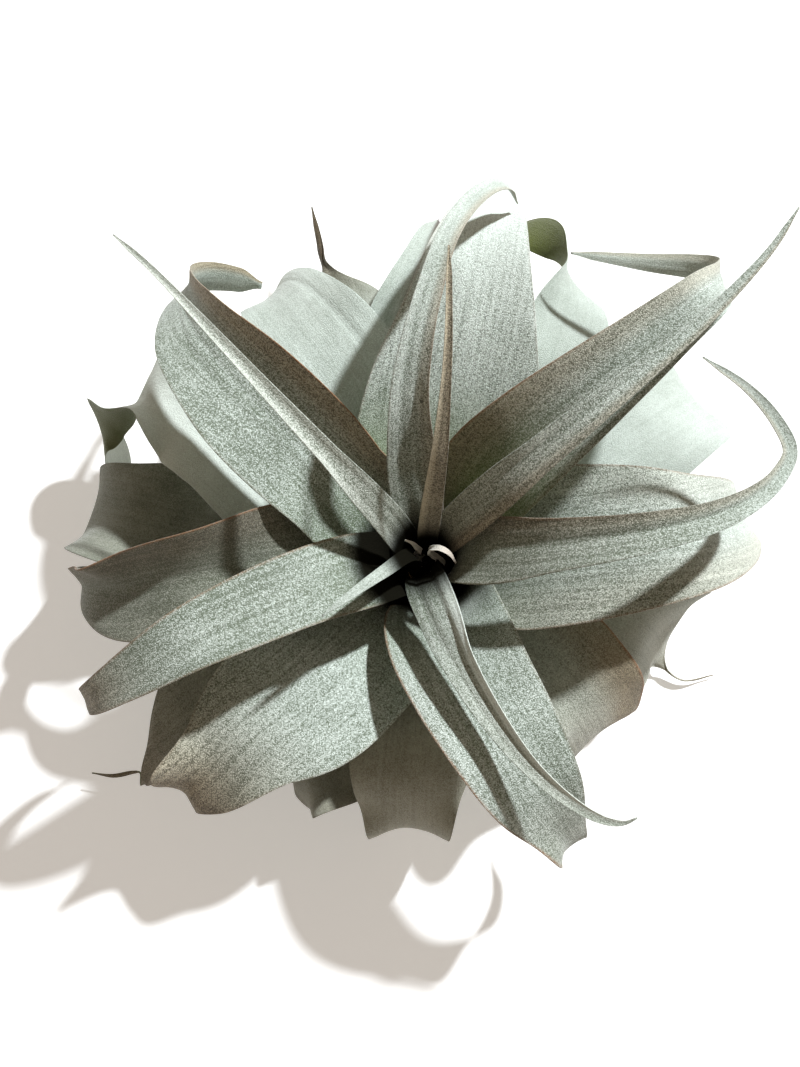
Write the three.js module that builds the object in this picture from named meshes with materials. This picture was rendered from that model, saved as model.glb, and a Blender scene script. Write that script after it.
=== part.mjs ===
import * as THREE from 'three';

// Xerographica air plant: a rosette of separate leaves round a short stem.
// Millimetres, +Z up. The origin is the middle of the flat foot of the stem.

// Stem: a short tapering axis with a dry stub below, hidden by the leaf bases.
const STUB_RADIUS = 12.5;
const STUB_WAIST = 10.5;
const STEM_TOP = 44;
const STEM_SIDES = 20;
const STEM_CLEARANCE = 1.1;

// Leaf feet: each leaf grows a little higher and nearer the axis than the one before.
const LOWEST_FOOT = 8;
const FOOT_STEP = 1.25;
const WIDEST_FOOT = 14.6;
const FOOT_INSET = 0.45;
const LOWEST_WRAP = 84;
const WRAP_STEP = 1.2;
const FOOT_RUN = 9;
const LOWEST_RISE = 34;
const RISE_STEP = 1.5;

// Blade: thickest along the middle near the foot, thin at the margins and the tip.
const MIDRIB_THICKNESS = 1.3;
const MARGIN_THICKNESS = 0.7;
const STOUT_WIDTH = 20;
const TIP_WIDTH = 1.3;
const NEST_INSIDE = 14;
const NEST_OUTSIDE = 34;
const USUAL_CREASE = 0.2;
const CREASE_ROUNDING = 0.12;

// Mesh: rows along a blade, columns across it, and the fine steps that carry its frame.
const BROAD_GRID = [20, 6];
const LONG_GRID = [28, 4];
const TWISTED_GRID = [26, 6];
const NARROW_GRID = [20, 4];
const FRAME_STEPS = 96;

const degrees = THREE.MathUtils.degToRad;

// Each leaf in the order it grows, the lowest first. A path point is [distance
// from the axis, direction in degrees, height]. Widths, cup, lean and crease are
// given at even places from foot to tip. A swell lifts one margin of the blade:
// [share of the length, side, lift, reach as a share of the length]. Right is the
// breadth of the right half as a share of the left one's.
const LEAVES = [
  {
    name: 'outer_leaf_01', turn: 108, tint: 'outer', grid: TWISTED_GRID,
    path: [
      [36.2, 109.4, 20], [56.1, 109.1, 29], [73.1, 108.2, 34], [87.7, 107.9, 33],
      [96.5, 108.2, 30], [102.4, 108.2, 28], [111.5, 107.6, 27], [120.6, 107.2, 27],
    ],
    widths: [22, 34, 42, 45, 46, 46, 45, 43, 40, 36, 31, 24, 10, 2, 2, 1.6, 1.3],
    cup: [20, 12, 12, 20, 20], ripple: [1.5, 3, 0],
  },
  {
    name: 'outer_leaf_02', turn: 250, tint: 'outer', grid: TWISTED_GRID,
    path: [
      [36, 245.6, 21], [52.3, 237.6, 25], [65, 233.1, 22], [70.6, 232.2, 13], [68.2, 231.8, 5],
      [59.6, 233.7, 3], [50.4, 237, 6],
    ],
    widths: [22, 40, 47, 50, 49, 42, 24, 10, 1.5], cup: [30, 16, 8, 10, 10],
    ripple: [1.8, 5, 40], swells: [[0.58, 1, 5, 0.04]],
  },
  {
    name: 'outer_leaf_03', turn: 345, tint: 'outer', grid: TWISTED_GRID,
    path: [
      [33.9, 350.2, 24], [54.6, 346.6, 31], [66.4, 344.7, 27], [72.7, 343, 16], [77.4, 340.2, 6],
      [85.9, 338.8, 3], [94.8, 341.9, 2],
    ],
    widths: [22, 36, 44, 46, 45, 43, 41, 39, 36, 13, 1.8, 1.3, 1.3], cup: [30, 18, 10, 20, 20],
    lean: [0, 0, 0, 0, 0, 0, 10, 60, 80], ripple: [1.5, 3, 120],
    swells: [[0.6, 1, 9, 0.08]],
  },
  {
    name: 'outer_leaf_04', turn: 168, tint: 'outer', grid: BROAD_GRID,
    path: [
      [39.5, 168.7, 25], [66.4, 170.8, 36], [87.3, 170.5, 38], [100.5, 169.2, 28],
      [103.5, 168.5, 12], [96.4, 167.3, 4], [86.2, 166.7, 3],
    ],
    widths: [22, 36, 40, 39, 36, 31, 24, 12, 2], cup: [30, 14, 10, 14, 20],
    ripple: [1.2, 4, 200], swells: [[0.62, 1, 12, 0.07]],
  },
  {
    name: 'outer_leaf_05', turn: 98, tint: 'outer', grid: BROAD_GRID,
    path: [
      [39.6, 101.6, 29.5], [57.4, 100.4, 40.5], [71.4, 98.6, 47], [81.1, 94.6, 50],
      [91.9, 91.1, 48], [100.5, 89.3, 43], [107.5, 88.1, 35],
    ],
    widths: [20, 27, 30, 26, 20, 15.5, 12, 8, 3], cup: [26, 36, 64, 76, 60], crease: 0.7,
    lean: [0, 0, -12, -28, -40], ripple: [0.5, 3, 90],
  },
  {
    name: 'outer_leaf_06', turn: 217, tint: 'outer', grid: TWISTED_GRID,
    path: [
      [35.9, 213.7, 27], [64.2, 215.1, 36], [85.6, 215.9, 32.5], [99.5, 216, 23.5],
      [105.1, 216.9, 15], [105.1, 214.5, 10], [107.6, 213.6, 8.5], [112.8, 212.4, 8],
      [118.1, 210.3, 8],
    ],
    widths: [22, 36, 43, 46, 46, 45, 43, 41, 36, 26, 11, 3, 1.6, 1.4, 1.3], cup: [30, 18, 14, 24, 20],
    ripple: [1.5, 3, 20],
  },
  {
    name: 'outer_leaf_07', turn: 22, tint: 'outer', grid: BROAD_GRID,
    path: [
      [35, 31.2, 33], [60.5, 31.4, 43], [80.1, 31.7, 44], [94.3, 32, 34], [98.2, 32.4, 19],
      [90.3, 32.9, 7], [80, 33.9, 3.5],
    ],
    widths: [22, 42, 44, 42, 39, 34, 25, 12, 2], cup: [30, 14, 10, 14, 20],
    ripple: [1, 4, 60], swells: [[0.6, -1, 5, 0.07]],
  },
  {
    name: 'outer_leaf_08', turn: 268, tint: 'outer', grid: TWISTED_GRID,
    path: [
      [33.8, 266.8, 32], [49.9, 265, 40], [63.9, 264.9, 37], [74.6, 265.9, 24], [73.1, 266.1, 10],
      [63.9, 267.5, 4], [53.9, 269.7, 6],
    ],
    widths: [22, 37, 40, 39, 33, 26, 20, 11, 2], cup: [30, 14, 6, 8, 20],
    ripple: [1.5, 4, 150], swells: [[0.67, -1, 5, 0.06], [0.64, 1, 3, 0.06]],
  },
  {
    name: 'middle_leaf_01', turn: 152, tint: 'outer', grid: TWISTED_GRID,
    path: [
      [44.5, 148.9, 40], [68.4, 145, 49], [84.9, 146.4, 50], [94.4, 149.9, 47], [100, 154.4, 43],
      [105.1, 155.6, 38], [106.7, 156.5, 32], [103.7, 158.1, 25], [100.5, 160.3, 20],
      [98.2, 164.1, 14],
    ],
    widths: [21, 30, 38, 41, 44, 46, 46, 45, 44, 41, 33, 14, 14, 17, 16, 13, 10],
    cup: [34, 20, 16, 10, 6], lean: [0, 0, 0, 0, 0, 5, 110, 178, 195], ripple: [0.5, 3, 100],
  },
  {
    name: 'middle_leaf_02', turn: 57, tint: 'outer', grid: TWISTED_GRID,
    path: [
      [44.2, 58.3, 43], [67.2, 57.3, 52], [83.6, 60.3, 50], [94.5, 63.8, 46], [104, 68.1, 42],
      [107.7, 72.4, 37], [105.7, 76.2, 34], [103.9, 81.1, 31],
    ],
    widths: [21, 28, 32, 34, 34, 34, 34, 33, 29, 25.5, 21, 14, 8, 11, 12, 9, 5],
    cup: [34, 22, 18, 12, 6], lean: [0, 0, 0, 0, 0, 10, 90, 160, 180], ripple: [0.5, 3, 10],
  },
  {
    name: 'middle_leaf_03', turn: 322, tint: 'outer', grid: BROAD_GRID,
    path: [
      [35.7, 318.9, 40], [52.8, 316.6, 45], [62.5, 316.5, 40], [69, 315.8, 28], [65.6, 317, 16],
      [57.7, 317.7, 11],
    ],
    widths: [21, 38, 41, 42, 41, 36, 26, 13, 2], cup: [34, 16, 8, 10, 20],
    ripple: [1, 4, 30], swells: [[0.6, 1, 5, 0.07], [0.56, -1, 11, 0.07]],
  },
  {
    name: 'middle_leaf_04', turn: 118, tint: 'outer', grid: BROAD_GRID,
    path: [
      [38, 113, 44], [57, 115, 53], [76, 118, 55], [89, 119, 48],
      [94, 121, 36], [90, 124, 26], [81, 127, 22],
    ],
    widths: [21, 36, 38, 38, 37, 32, 23, 12, 2], cup: [34, 18, 12, 20, 24], ripple: [1, 4, 70],
  },
  {
    name: 'middle_leaf_05', turn: 228, tint: 'middle', grid: TWISTED_GRID,
    path: [
      [30, 228.4, 44], [48.2, 228.3, 54.5], [68.2, 225.3, 57], [86.4, 225.5, 50], [94, 224.4, 42],
      [91.9, 223.9, 37], [84.7, 224.9, 40],
    ],
    widths: [20, 38, 45, 46, 44.5, 35, 24, 11, 2], cup: [34, 12, 8, 14, 20],
    ripple: [0.6, 4, 50], swells: [[0.8, -1, 13, 0.06]],
  },
  {
    name: 'middle_leaf_06', turn: 0, tint: 'middle', grid: BROAD_GRID,
    path: [
      [25.8, 4.2, 48], [46, 2.8, 63], [68.7, 3.1, 69], [84.1, 5.5, 61], [89.7, 8, 48],
      [85.1, 9, 38], [76.6, 9.3, 35],
    ],
    widths: [20, 41, 47, 45, 40, 33, 24, 12, 2], cup: [34, 22, 12, 18, 20], ripple: [0.8, 4, 0],
  },
  {
    name: 'middle_leaf_07', turn: 184, tint: 'middle', grid: BROAD_GRID,
    path: [
      [26.2, 181.5, 46], [43.4, 183.9, 57], [65.5, 186.1, 62], [86.4, 186.6, 53],
      [98.8, 184.2, 42], [99.6, 181.3, 31], [92.6, 180.3, 25],
    ],
    widths: [20, 26, 32, 38, 38, 33, 25, 11, 2], cup: [34, 30, 60, 56, 30], crease: 0.75,
    lean: [0, 0, 0, -14, -26, -25, -20, -18, -10], ripple: [0.6, 4, 90],
    swells: [[0.7, -1, 7, 0.05]],
  },
  {
    name: 'middle_leaf_08', turn: 80, tint: 'middle', grid: BROAD_GRID,
    path: [
      [30.2, 80.5, 54], [46.2, 80.8, 68], [66.2, 80.1, 79], [86.1, 79.9, 83], [98, 79.8, 76],
      [105.8, 80.1, 63], [103.2, 79.8, 53], [95.9, 79.1, 50],
    ],
    widths: [19, 42, 52, 48, 38, 27, 17, 8, 2], cup: [34, 20, 14, 20, 20], ripple: [0.4, 3, 0],
    swells: [[0.6, 1, 11, 0.05]],
  },
  {
    name: 'middle_leaf_09', turn: 294, tint: 'middle', grid: BROAD_GRID,
    path: [
      [22.9, 283.6, 57], [37.8, 286.7, 70], [53.9, 290.4, 74], [69.8, 293, 69], [83.2, 295.6, 55],
      [88.3, 296.6, 41], [84.7, 296.8, 30], [76.6, 296.7, 26],
    ],
    widths: [19, 34, 35, 33, 30, 24.5, 14, 8, 2], cup: [34, 20, 12, 14, 20], ripple: [0.6, 4, 180],
    swells: [[0.77, -1, 5, 0.05]],
  },
  {
    name: 'middle_leaf_10', turn: 136, tint: 'middle', grid: BROAD_GRID,
    path: [
      [21.3, 136.9, 54], [42.1, 135.8, 70], [62.8, 136.5, 78], [82.8, 135.8, 77], [96, 133.4, 68],
      [104.4, 130.4, 57], [104.7, 127.1, 51], [100.2, 123.6, 49], [94.6, 120.8, 49],
    ],
    widths: [18, 35, 42, 48, 47, 36, 22, 14, 8], cup: [34, 60, 66, 56, 16], crease: 0.6,
    lean: [0, -12, -20, -22, -22, -26, -30, -40, -50], ripple: [0.3, 3, 0], right: 0.65,
  },
  {
    name: 'inner_leaf_01', turn: 38, tint: 'middle', grid: LONG_GRID,
    path: [
      [24.9, 50.7, 60], [38.8, 45.9, 77], [56, 42.4, 90], [75.8, 40.7, 99], [89.8, 40.4, 102],
      [97.6, 41, 97], [101.6, 43.1, 90], [101.5, 46.1, 84], [97.8, 52.9, 75], [93.3, 64.6, 66],
    ],
    widths: [17, 29, 30.5, 26.5, 20.5, 14.5, 8, 4.8, 1.8],
    cup: [34, 30, 26, 20, 10], lean: [0, 0, 0, 0, 0, 0, 50, 70, 70],
  },
  {
    name: 'inner_leaf_02', turn: 205, tint: 'middle', grid: BROAD_GRID,
    path: [
      [14, 199, 60], [34, 200.4, 77], [64, 203, 85], [83, 204.2, 80],
      [96, 204.3, 70], [101, 203.4, 58], [97, 202.4, 48], [89, 202.4, 44],
    ],
    widths: [16, 19.6, 21.8, 21, 19.2, 15.4, 11, 6.6, 2], cup: [34, 26, 18, 16, 20], ripple: [0.4, 4, 0],
  },
  {
    name: 'inner_leaf_03', turn: 355, tint: 'middle', grid: LONG_GRID,
    path: [
      [8.7, 356, 60], [27.9, 353.2, 88], [52.9, 358.1, 101], [68.9, 2, 100], [81, 6, 96],
      [88, 9.2, 93], [92.9, 13, 92], [91, 18.1, 95], [86, 24.1, 100], [78.5, 32, 105],
    ],
    widths: [15, 18, 19, 15.5, 12, 8.5, 5.4, 3.4, 1.3], cup: [34, 40, 50, 50, 44], crease: 0.5,
    lean: [0, 0, 8, 8, 0],
  },
  {
    name: 'inner_leaf_04', turn: 97, tint: 'inner', grid: LONG_GRID,
    path: [
      [10.1, 104.1, 58], [24.1, 102.2, 80], [36.2, 99.1, 96], [48.1, 94.3, 106],
      [60.1, 90.2, 110], [71.5, 87.1, 109], [82.9, 83.3, 104], [90.8, 79.9, 98], [94.1, 77.5, 92],
      [93.7, 75.6, 85],
    ],
    widths: [13, 13.5, 14.5, 13, 10.8, 8, 6, 5, 3], cup: [34, 40, 56, 50, 40], crease: 0.6,
  },
  {
    name: 'inner_leaf_05', turn: 295, tint: 'inner', grid: NARROW_GRID,
    path: [
      [6.7, 262.6, 59], [24.1, 281.5, 73], [43.8, 288, 81], [61.8, 293.1, 82], [75.3, 297.9, 79],
      [83.3, 301.5, 77], [86.6, 304.1, 78], [87.1, 306.1, 80],
    ],
    widths: [10.4, 10.2, 12.8, 12.5, 11, 8.5, 5.5, 3.4, 1.5], cup: [33, 36, 66, 66, 50], crease: 0.6,
    lean: [0, 4, 14, 16, 14, 8, 0],
  },
  {
    name: 'inner_leaf_06', turn: 134, tint: 'inner', grid: NARROW_GRID,
    path: [
      [7.3, 155.6, 60], [12.8, 150.7, 77], [28.1, 145, 95], [52.5, 140.9, 106], [75.4, 139, 112],
      [92.5, 138, 112], [106.2, 137.8, 110],
    ],
    widths: [9, 8.8, 9, 8, 6.8, 5, 3.4, 2, 1.3], cup: [34, 60, 70, 60, 40], crease: 0.85,
  },
  {
    name: 'inner_leaf_07', turn: 42, tint: 'inner', grid: NARROW_GRID,
    path: [
      [6, 43.4, 60], [19, 34.2, 88], [40, 34.3, 106], [60, 35.1, 114], [80, 36.1, 118],
      [100.9, 38.1, 122], [112.1, 39.9, 125],
    ],
    widths: [9, 10, 11.3, 11, 9.5, 7, 4.6, 2.6, 1.3], cup: [34, 42, 50, 44, 36], crease: 0.6,
  },
  {
    name: 'inner_leaf_08', turn: 214, tint: 'inner', grid: NARROW_GRID,
    path: [
      [4, 205, 58], [6.7, 204.4, 72], [14.1, 214.7, 82], [22.5, 216.7, 88], [29.5, 217.4, 91],
      [34.5, 217.6, 92],
    ],
    widths: [6.4, 4.8, 4.4, 4.2, 4, 3.6, 3, 2.2, 1.3], cup: [34, 40, 40, 40], crease: 0.5,
  },
  {
    name: 'inner_leaf_09', turn: 84, tint: 'inner', grid: NARROW_GRID,
    path: [
      [4.1, 94.3, 60], [7.5, 89.5, 80], [21.2, 84.4, 103], [39, 85.1, 119], [52.1, 86.2, 125],
      [61.4, 86.9, 128],
    ],
    widths: [6, 6, 6, 5.6, 4.6, 3.6, 2.6, 1.8, 1.3], cup: [34, 44, 50, 44], crease: 0.7,
  },
  {
    name: 'heart_leaf_01', turn: 340, tint: 'heart', grid: NARROW_GRID,
    path: [
      [1.1, 352.5, 58], [0.6, 281, 65], [0.7, 320.3, 70], [2.7, 344.4, 72.5], [5.4, 337.5, 72.5],
      [8.1, 328.8, 69],
    ],
    widths: [2.4, 2.2, 2, 2, 2, 1.9, 1.7, 1.5, 1.3], cup: [30, 40, 40],
  },
  {
    name: 'heart_leaf_02', turn: 165, tint: 'heart', grid: NARROW_GRID,
    path: [
      [2.3, 165.9, 58], [3.8, 165.3, 64], [5, 162, 67], [6.9, 163.8, 69.5],
    ],
    widths: [3, 2.4, 2, 1.9, 1.7, 1.3], cup: [30, 40, 40],
  },
];

const FINISHES = {
  outer: new THREE.MeshStandardMaterial({ color: '#b4bdb5', roughness: 0.85, metalness: 0 }),
  middle: new THREE.MeshStandardMaterial({ color: '#a5ada0', roughness: 0.85, metalness: 0 }),
  inner: new THREE.MeshStandardMaterial({ color: '#9f9c8c', roughness: 0.85, metalness: 0 }),
  heart: new THREE.MeshStandardMaterial({ color: '#cdb9b0', roughness: 0.8, metalness: 0 }),
  stem: new THREE.MeshStandardMaterial({ color: '#6a5138', roughness: 0.95, metalness: 0 }),
};

// A point given by its distance from the axis, its direction and its height.
function around(distance, direction, height) {
  const angle = degrees(direction);
  return new THREE.Vector3(distance * Math.cos(angle), distance * Math.sin(angle), height);
}

// A smooth value between evenly spaced ones, at t from 0 to 1.
function along(values, t) {
  if (values.length === 1) {
    return values[0];
  }
  const place = t * (values.length - 1);
  const step = Math.min(Math.floor(place), values.length - 2);
  const part = place - step;
  const from = values[step];
  const to = values[step + 1];
  const slopeFrom = (to - values[Math.max(step - 1, 0)]) / 2;
  const slopeTo = (values[Math.min(step + 2, values.length - 1)] - from) / 2;
  const square = part * part;
  const cube = square * part;
  return from * (2 * cube - 3 * square + 1) + slopeFrom * (cube - 2 * square + part)
    + to * (3 * square - 2 * cube) + slopeTo * (cube - square);
}

function smoothStep(from, to, value) {
  const part = Math.min(Math.max((value - from) / (to - from), 0), 1);
  return part * part * (3 - 2 * part);
}

function footHeight(rank) {
  return LOWEST_FOOT + FOOT_STEP * rank;
}

function footRadius(rank) {
  return WIDEST_FOOT - FOOT_INSET * rank;
}

// The line of the midrib, from the foot on the stem to the tip.
function midrib(leaf, rank) {
  const rise = degrees(LOWEST_RISE + RISE_STEP * rank);
  const radius = footRadius(rank);
  const height = footHeight(rank);
  const reach = radius + FOOT_RUN * Math.cos(rise);
  const points = [
    around(radius, leaf.turn, height),
    around(reach, leaf.turn, height + FOOT_RUN * Math.sin(rise)),
  ];
  for (const [distance, direction, level] of leaf.path) {
    points.push(around(distance, direction, level));
  }
  return new THREE.CatmullRomCurve3(points, false, 'centripetal');
}

// Places and directions at fine steps: the side vector is carried along without twist.
function frames(leaf, rank) {
  const curve = midrib(leaf, rank);
  const side = around(1, leaf.turn + 90, 0);
  const steps = [];
  for (let i = 0; i <= FRAME_STEPS; i += 1) {
    const t = i / FRAME_STEPS;
    const forward = curve.getTangentAt(t);
    side.addScaledVector(forward, -side.dot(forward)).normalize();
    steps.push({ place: curve.getPointAt(t), forward, side: side.clone() });
  }
  return steps;
}

// The place, side and face directions at t, with the blade's lean about the midrib.
function frameAt(steps, leaf, t) {
  const spot = Math.min(t * FRAME_STEPS, FRAME_STEPS - 1e-6);
  const i = Math.floor(spot);
  const place = steps[i].place.clone().lerp(steps[i + 1].place, spot - i);
  const forward = steps[i].forward.clone().lerp(steps[i + 1].forward, spot - i).normalize();
  const side = steps[i].side.clone().lerp(steps[i + 1].side, spot - i).normalize();
  side.applyAxisAngle(forward, degrees(along(leaf.lean || [0], t)));
  const face = forward.clone().cross(side);
  return { place, forward, side, face };
}

function bladeWidth(leaf, rank, t) {
  const foot = degrees(LOWEST_WRAP + WRAP_STEP * rank) * footRadius(rank);
  const own = Math.max(along(leaf.widths, t), TIP_WIDTH);
  const share = smoothStep(0, 0.12, t);
  return foot * (1 - share) + own * share;
}

// How far the blade has left the stem: 0 where it nests round it, 1 where it is free.
function freedom(frame) {
  return smoothStep(NEST_INSIDE, NEST_OUTSIDE, Math.hypot(frame.place.x, frame.place.y));
}

// Half the angle of the cross section: a cone round the stem where it nests, its own beyond.
function halfAngle(leaf, frame, width, t) {
  const own = degrees(along(leaf.cup, t));
  const distance = Math.hypot(frame.place.x, frame.place.y);
  const nested = (width / 2) * Math.max(frame.forward.z, 0) / distance;
  const free = freedom(frame);
  return Math.max(Math.min(nested, 1.3) * (1 - free) + own * free, 0.02);
}

// How far a margin stands off the even cross section: a fine ripple and single swells.
function marginLift(leaf, t, v) {
  const [height, count, phase] = leaf.ripple || [0, 0, 0];
  const ripple = height * Math.sin(2 * Math.PI * count * t + degrees(phase) + 1.3 * v);
  let lift = ripple * v * v * smoothStep(0.25, 0.6, t) * smoothStep(1, 0.8, t);
  for (const [centre, side, rise, reach] of leaf.swells || []) {
    const near = Math.exp(-(((t - centre) / reach) ** 2));
    lift += rise * near * Math.max(v * side, 0) ** 2;
  }
  return lift;
}

// A point of the middle surface: t runs from foot to tip, v from -1 to 1 across.
function middlePoint(steps, leaf, rank, t, v) {
  const frame = frameAt(steps, leaf, t);
  const width = bladeWidth(leaf, rank, t);
  const half = halfAngle(leaf, frame, width, t);
  const bend = width / 2 / half;
  const crease = (leaf.crease || USUAL_CREASE) * freedom(frame);
  const right = 1 + ((leaf.right || 1) - 1) * freedom(frame);
  const w = v < 0 ? v * right : v;
  const folded = Math.sqrt(w * w + CREASE_ROUNDING ** 2) - CREASE_ROUNDING;
  const across = bend * (Math.sin(w * half) * (1 - crease) + w * Math.sin(half) * crease);
  const cupped = (1 - Math.cos(w * half)) * (1 - crease) + folded * (1 - Math.cos(half)) * crease;
  const up = bend * cupped + marginLift(leaf, t, v);
  return frame.place.addScaledVector(frame.side, across).addScaledVector(frame.face, up);
}

// One face of a blade: its middle surface moved out by half the thickness.
function facePoint(steps, leaf, rank, t, v, sign) {
  const step = 0.004;
  const before = middlePoint(steps, leaf, rank, Math.max(t - step, 0), v);
  const after = middlePoint(steps, leaf, rank, Math.min(t + step, 1), v);
  const left = middlePoint(steps, leaf, rank, t, Math.min(v + step * 10, 1));
  const right = middlePoint(steps, leaf, rank, t, Math.max(v - step * 10, -1));
  const normal = after.sub(before).cross(left.sub(right)).normalize();
  const stout = Math.min(bladeWidth(leaf, rank, t) / STOUT_WIDTH, 1);
  const extra = (MIDRIB_THICKNESS - MARGIN_THICKNESS) * stout * (1 - t) * (1 - v * v);
  const thickness = MARGIN_THICKNESS + extra * smoothStep(0, 0.16, t);
  const point = middlePoint(steps, leaf, rank, t, v);
  return point.addScaledVector(normal, sign * thickness / 2);
}

// A closed blade: two like faces joined all round by a rim.
function bladeGeometry(leaf, rank) {
  const [rows, columns] = leaf.grid;
  const steps = frames(leaf, rank);
  const positions = [];
  for (const sign of [1, -1]) {
    for (let row = 0; row <= rows; row += 1) {
      for (let column = 0; column <= columns; column += 1) {
        const v = 2 * column / columns - 1;
        positions.push(...facePoint(steps, leaf, rank, row / rows, v, sign).toArray());
      }
    }
  }
  const stride = columns + 1;
  const below = (rows + 1) * stride;
  const index = [];
  for (let row = 0; row < rows; row += 1) {
    for (let column = 0; column < columns; column += 1) {
      const a = row * stride + column;
      const b = a + 1;
      const c = a + stride;
      const d = c + 1;
      if (column < columns / 2) {
        index.push(a, c, d, a, d, b);
        index.push(below + a, below + d, below + c, below + a, below + b, below + d);
      } else {
        index.push(a, c, b, c, d, b);
        index.push(below + a, below + b, below + c, below + c, below + b, below + d);
      }
    }
  }
  const rim = [];
  for (let column = 0; column < columns; column += 1) {
    rim.push(column);
  }
  for (let row = 0; row < rows; row += 1) {
    rim.push(row * stride + columns);
  }
  for (let column = columns; column > 0; column -= 1) {
    rim.push(rows * stride + column);
  }
  for (let row = rows; row > 0; row -= 1) {
    rim.push(row * stride);
  }
  rim.forEach((from, i) => {
    const to = rim[(i + 1) % rim.length];
    index.push(from, to, below + to, from, below + to, below + from);
  });
  const geometry = new THREE.BufferGeometry();
  geometry.setAttribute('position', new THREE.Float32BufferAttribute(positions, 3));
  geometry.setIndex(index);
  geometry.computeVertexNormals();
  return geometry;
}

function stemRadius(height) {
  const rank = (height - LOWEST_FOOT) / FOOT_STEP;
  return Math.max(footRadius(rank) - STEM_CLEARANCE, 0.8);
}

// The stem turned about its own axis, flat below so that the plant stands on it.
function stemGeometry() {
  const profile = [
    [0, 0],
    [STUB_RADIUS, 0],
    [STUB_RADIUS, 1.5],
    [STUB_WAIST, 3.5],
    [STUB_WAIST, 6],
    [stemRadius(LOWEST_FOOT + 1) - 0.4, LOWEST_FOOT + 1],
    [stemRadius(STEM_TOP), STEM_TOP],
    [0, STEM_TOP + 1],
  ];
  const outline = profile.map(([radius, height]) => new THREE.Vector2(radius, height));
  return new THREE.LatheGeometry(outline, STEM_SIDES).rotateX(Math.PI / 2);
}

const plant = new THREE.Group();
LEAVES.forEach((leaf, rank) => {
  const mesh = new THREE.Mesh(bladeGeometry(leaf, rank), FINISHES[leaf.tint]);
  mesh.name = leaf.name;
  plant.add(mesh);
});

const stem = new THREE.Mesh(stemGeometry(), FINISHES.stem);
stem.name = 'stem';
plant.add(stem);

export default plant;
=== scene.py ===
import math

import bmesh
import bpy
from bpy.props import FloatProperty, FloatVectorProperty, IntProperty, PointerProperty
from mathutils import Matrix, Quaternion, Vector, noise


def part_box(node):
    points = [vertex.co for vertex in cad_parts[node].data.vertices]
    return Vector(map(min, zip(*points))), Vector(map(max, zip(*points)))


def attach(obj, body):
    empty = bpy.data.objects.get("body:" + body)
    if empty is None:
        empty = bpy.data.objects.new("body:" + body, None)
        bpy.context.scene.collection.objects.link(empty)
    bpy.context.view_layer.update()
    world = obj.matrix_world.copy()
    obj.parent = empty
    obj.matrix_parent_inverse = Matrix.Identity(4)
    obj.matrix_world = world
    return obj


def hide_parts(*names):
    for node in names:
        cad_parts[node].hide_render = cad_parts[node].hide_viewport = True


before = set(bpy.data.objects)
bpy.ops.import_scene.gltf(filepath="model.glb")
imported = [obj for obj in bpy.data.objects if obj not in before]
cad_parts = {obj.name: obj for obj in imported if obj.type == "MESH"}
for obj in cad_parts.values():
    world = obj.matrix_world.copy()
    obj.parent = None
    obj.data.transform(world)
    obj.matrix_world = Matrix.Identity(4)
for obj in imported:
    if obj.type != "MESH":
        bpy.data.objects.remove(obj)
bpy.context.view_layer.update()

bl_info = {
    "name": "Xerographica air plant",
    "version": (1, 0, 0),
    "blender": (4, 5, 0),
    "location": "View3D > Sidebar > Air plant",
    "description": "Makes a silvery air plant rosette, leaf by leaf, with its stem and a studio",
    "category": "Add Mesh",
}

# Sizes are in millimetres unless a comment says otherwise. The scene is in metres.
MM = 0.001

# Leaf feet: each leaf grows a little higher and nearer the axis than the one before. Wrap
# is how far a foot reaches round the stem and rise how steeply it leaves it, in degrees.
LOWEST_FOOT = 8
FOOT_STEP = 1.25
WIDEST_FOOT = 14.6
FOOT_INSET = 0.45
LOWEST_WRAP = 84
WRAP_STEP = 1.2
FOOT_RUN = 9
LOWEST_RISE = 34
RISE_STEP = 1.5

# A blade's width and thickness: its foot keeps the stem's width for a share of the length,
# and it is stoutest where it is broad, along its midrib and towards its foot.
FOOT_SHARE = 0.12
TIP_WIDTH = 1.3
TIP_RUN = 7
TIP_SHARE = 0.35
STOUT_WIDTH = 20
STOUT_START = 0.16
EDGE_RUN = 2.0
EDGE_SHARE = 0.35

# A blade's cross section: curved round the stem near the axis, where the leaves nest, then
# cupped and creased in its own way. The widest and the flattest half angle are in radians.
NEST_INSIDE = 14
NEST_OUTSIDE = 34
WIDEST_NEST = 1.3
FLATTEST_CUP = 0.02
USUAL_CREASE = 0.2
CREASE_ROUNDING = 0.12
RIPPLE_SLANT = 1.3
FULL_PLEAT_WIDTH = 12

# Steps along a midrib, and the tiny share of it that gives its direction.
FRAME_STEPS = 96
LENGTH_STEPS = 200
NEAR = 1e-4

# A blade's mesh has this many rows and half columns at least, closer at its margins.
FEWEST_ROWS = 24
FEWEST_HALF_COLUMNS = 8
MARGIN_CROWDING = 0.35

# Where on the length ripples, pleats and colours start and end. Each pair is a fade.
RIPPLE_START = (0.25, 0.6)
RIPPLE_END = (1, 0.8)
PLEAT_START = (0.1, 0.3)
PLEAT_END = (0.95, 0.6)
GREEN_END = (0.42, 0.12)
# The dark olive under a curled tip, partly its own green and partly painted shade, fades in here.
UNDERSIDE_SHADE_START = (0.5, 0.7)
LINE_END = 0.95
LINE_FADE = 0.3

# Colours of a blade: how broad the line along its margin is, how the side felt and brown,
# partly painted light and shade, grow outward from the midrib, and how green a usual foot is.
LINE_BREADTH = 0.9
OUTWARD = (0.1, 0.8)
USUAL_GREEN = 0.15

# What each point of a blade's mesh says about its finish, painted shade included.
FINISH = ("felt", "grain", "brown", "green", "line", "olive", "deep")

# Painted shade in the heart's funnel: the leaves' feet are painted dark by distance from the
# axis, and the dark narrows upwards.
FUNNEL_SHADE_RIM = 13
FUNNEL_SHADE_PIT = 5
FUNNEL_SHADE_SLOPE = 0.35
FUNNEL_SHADE_HEIGHT = 60
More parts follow.
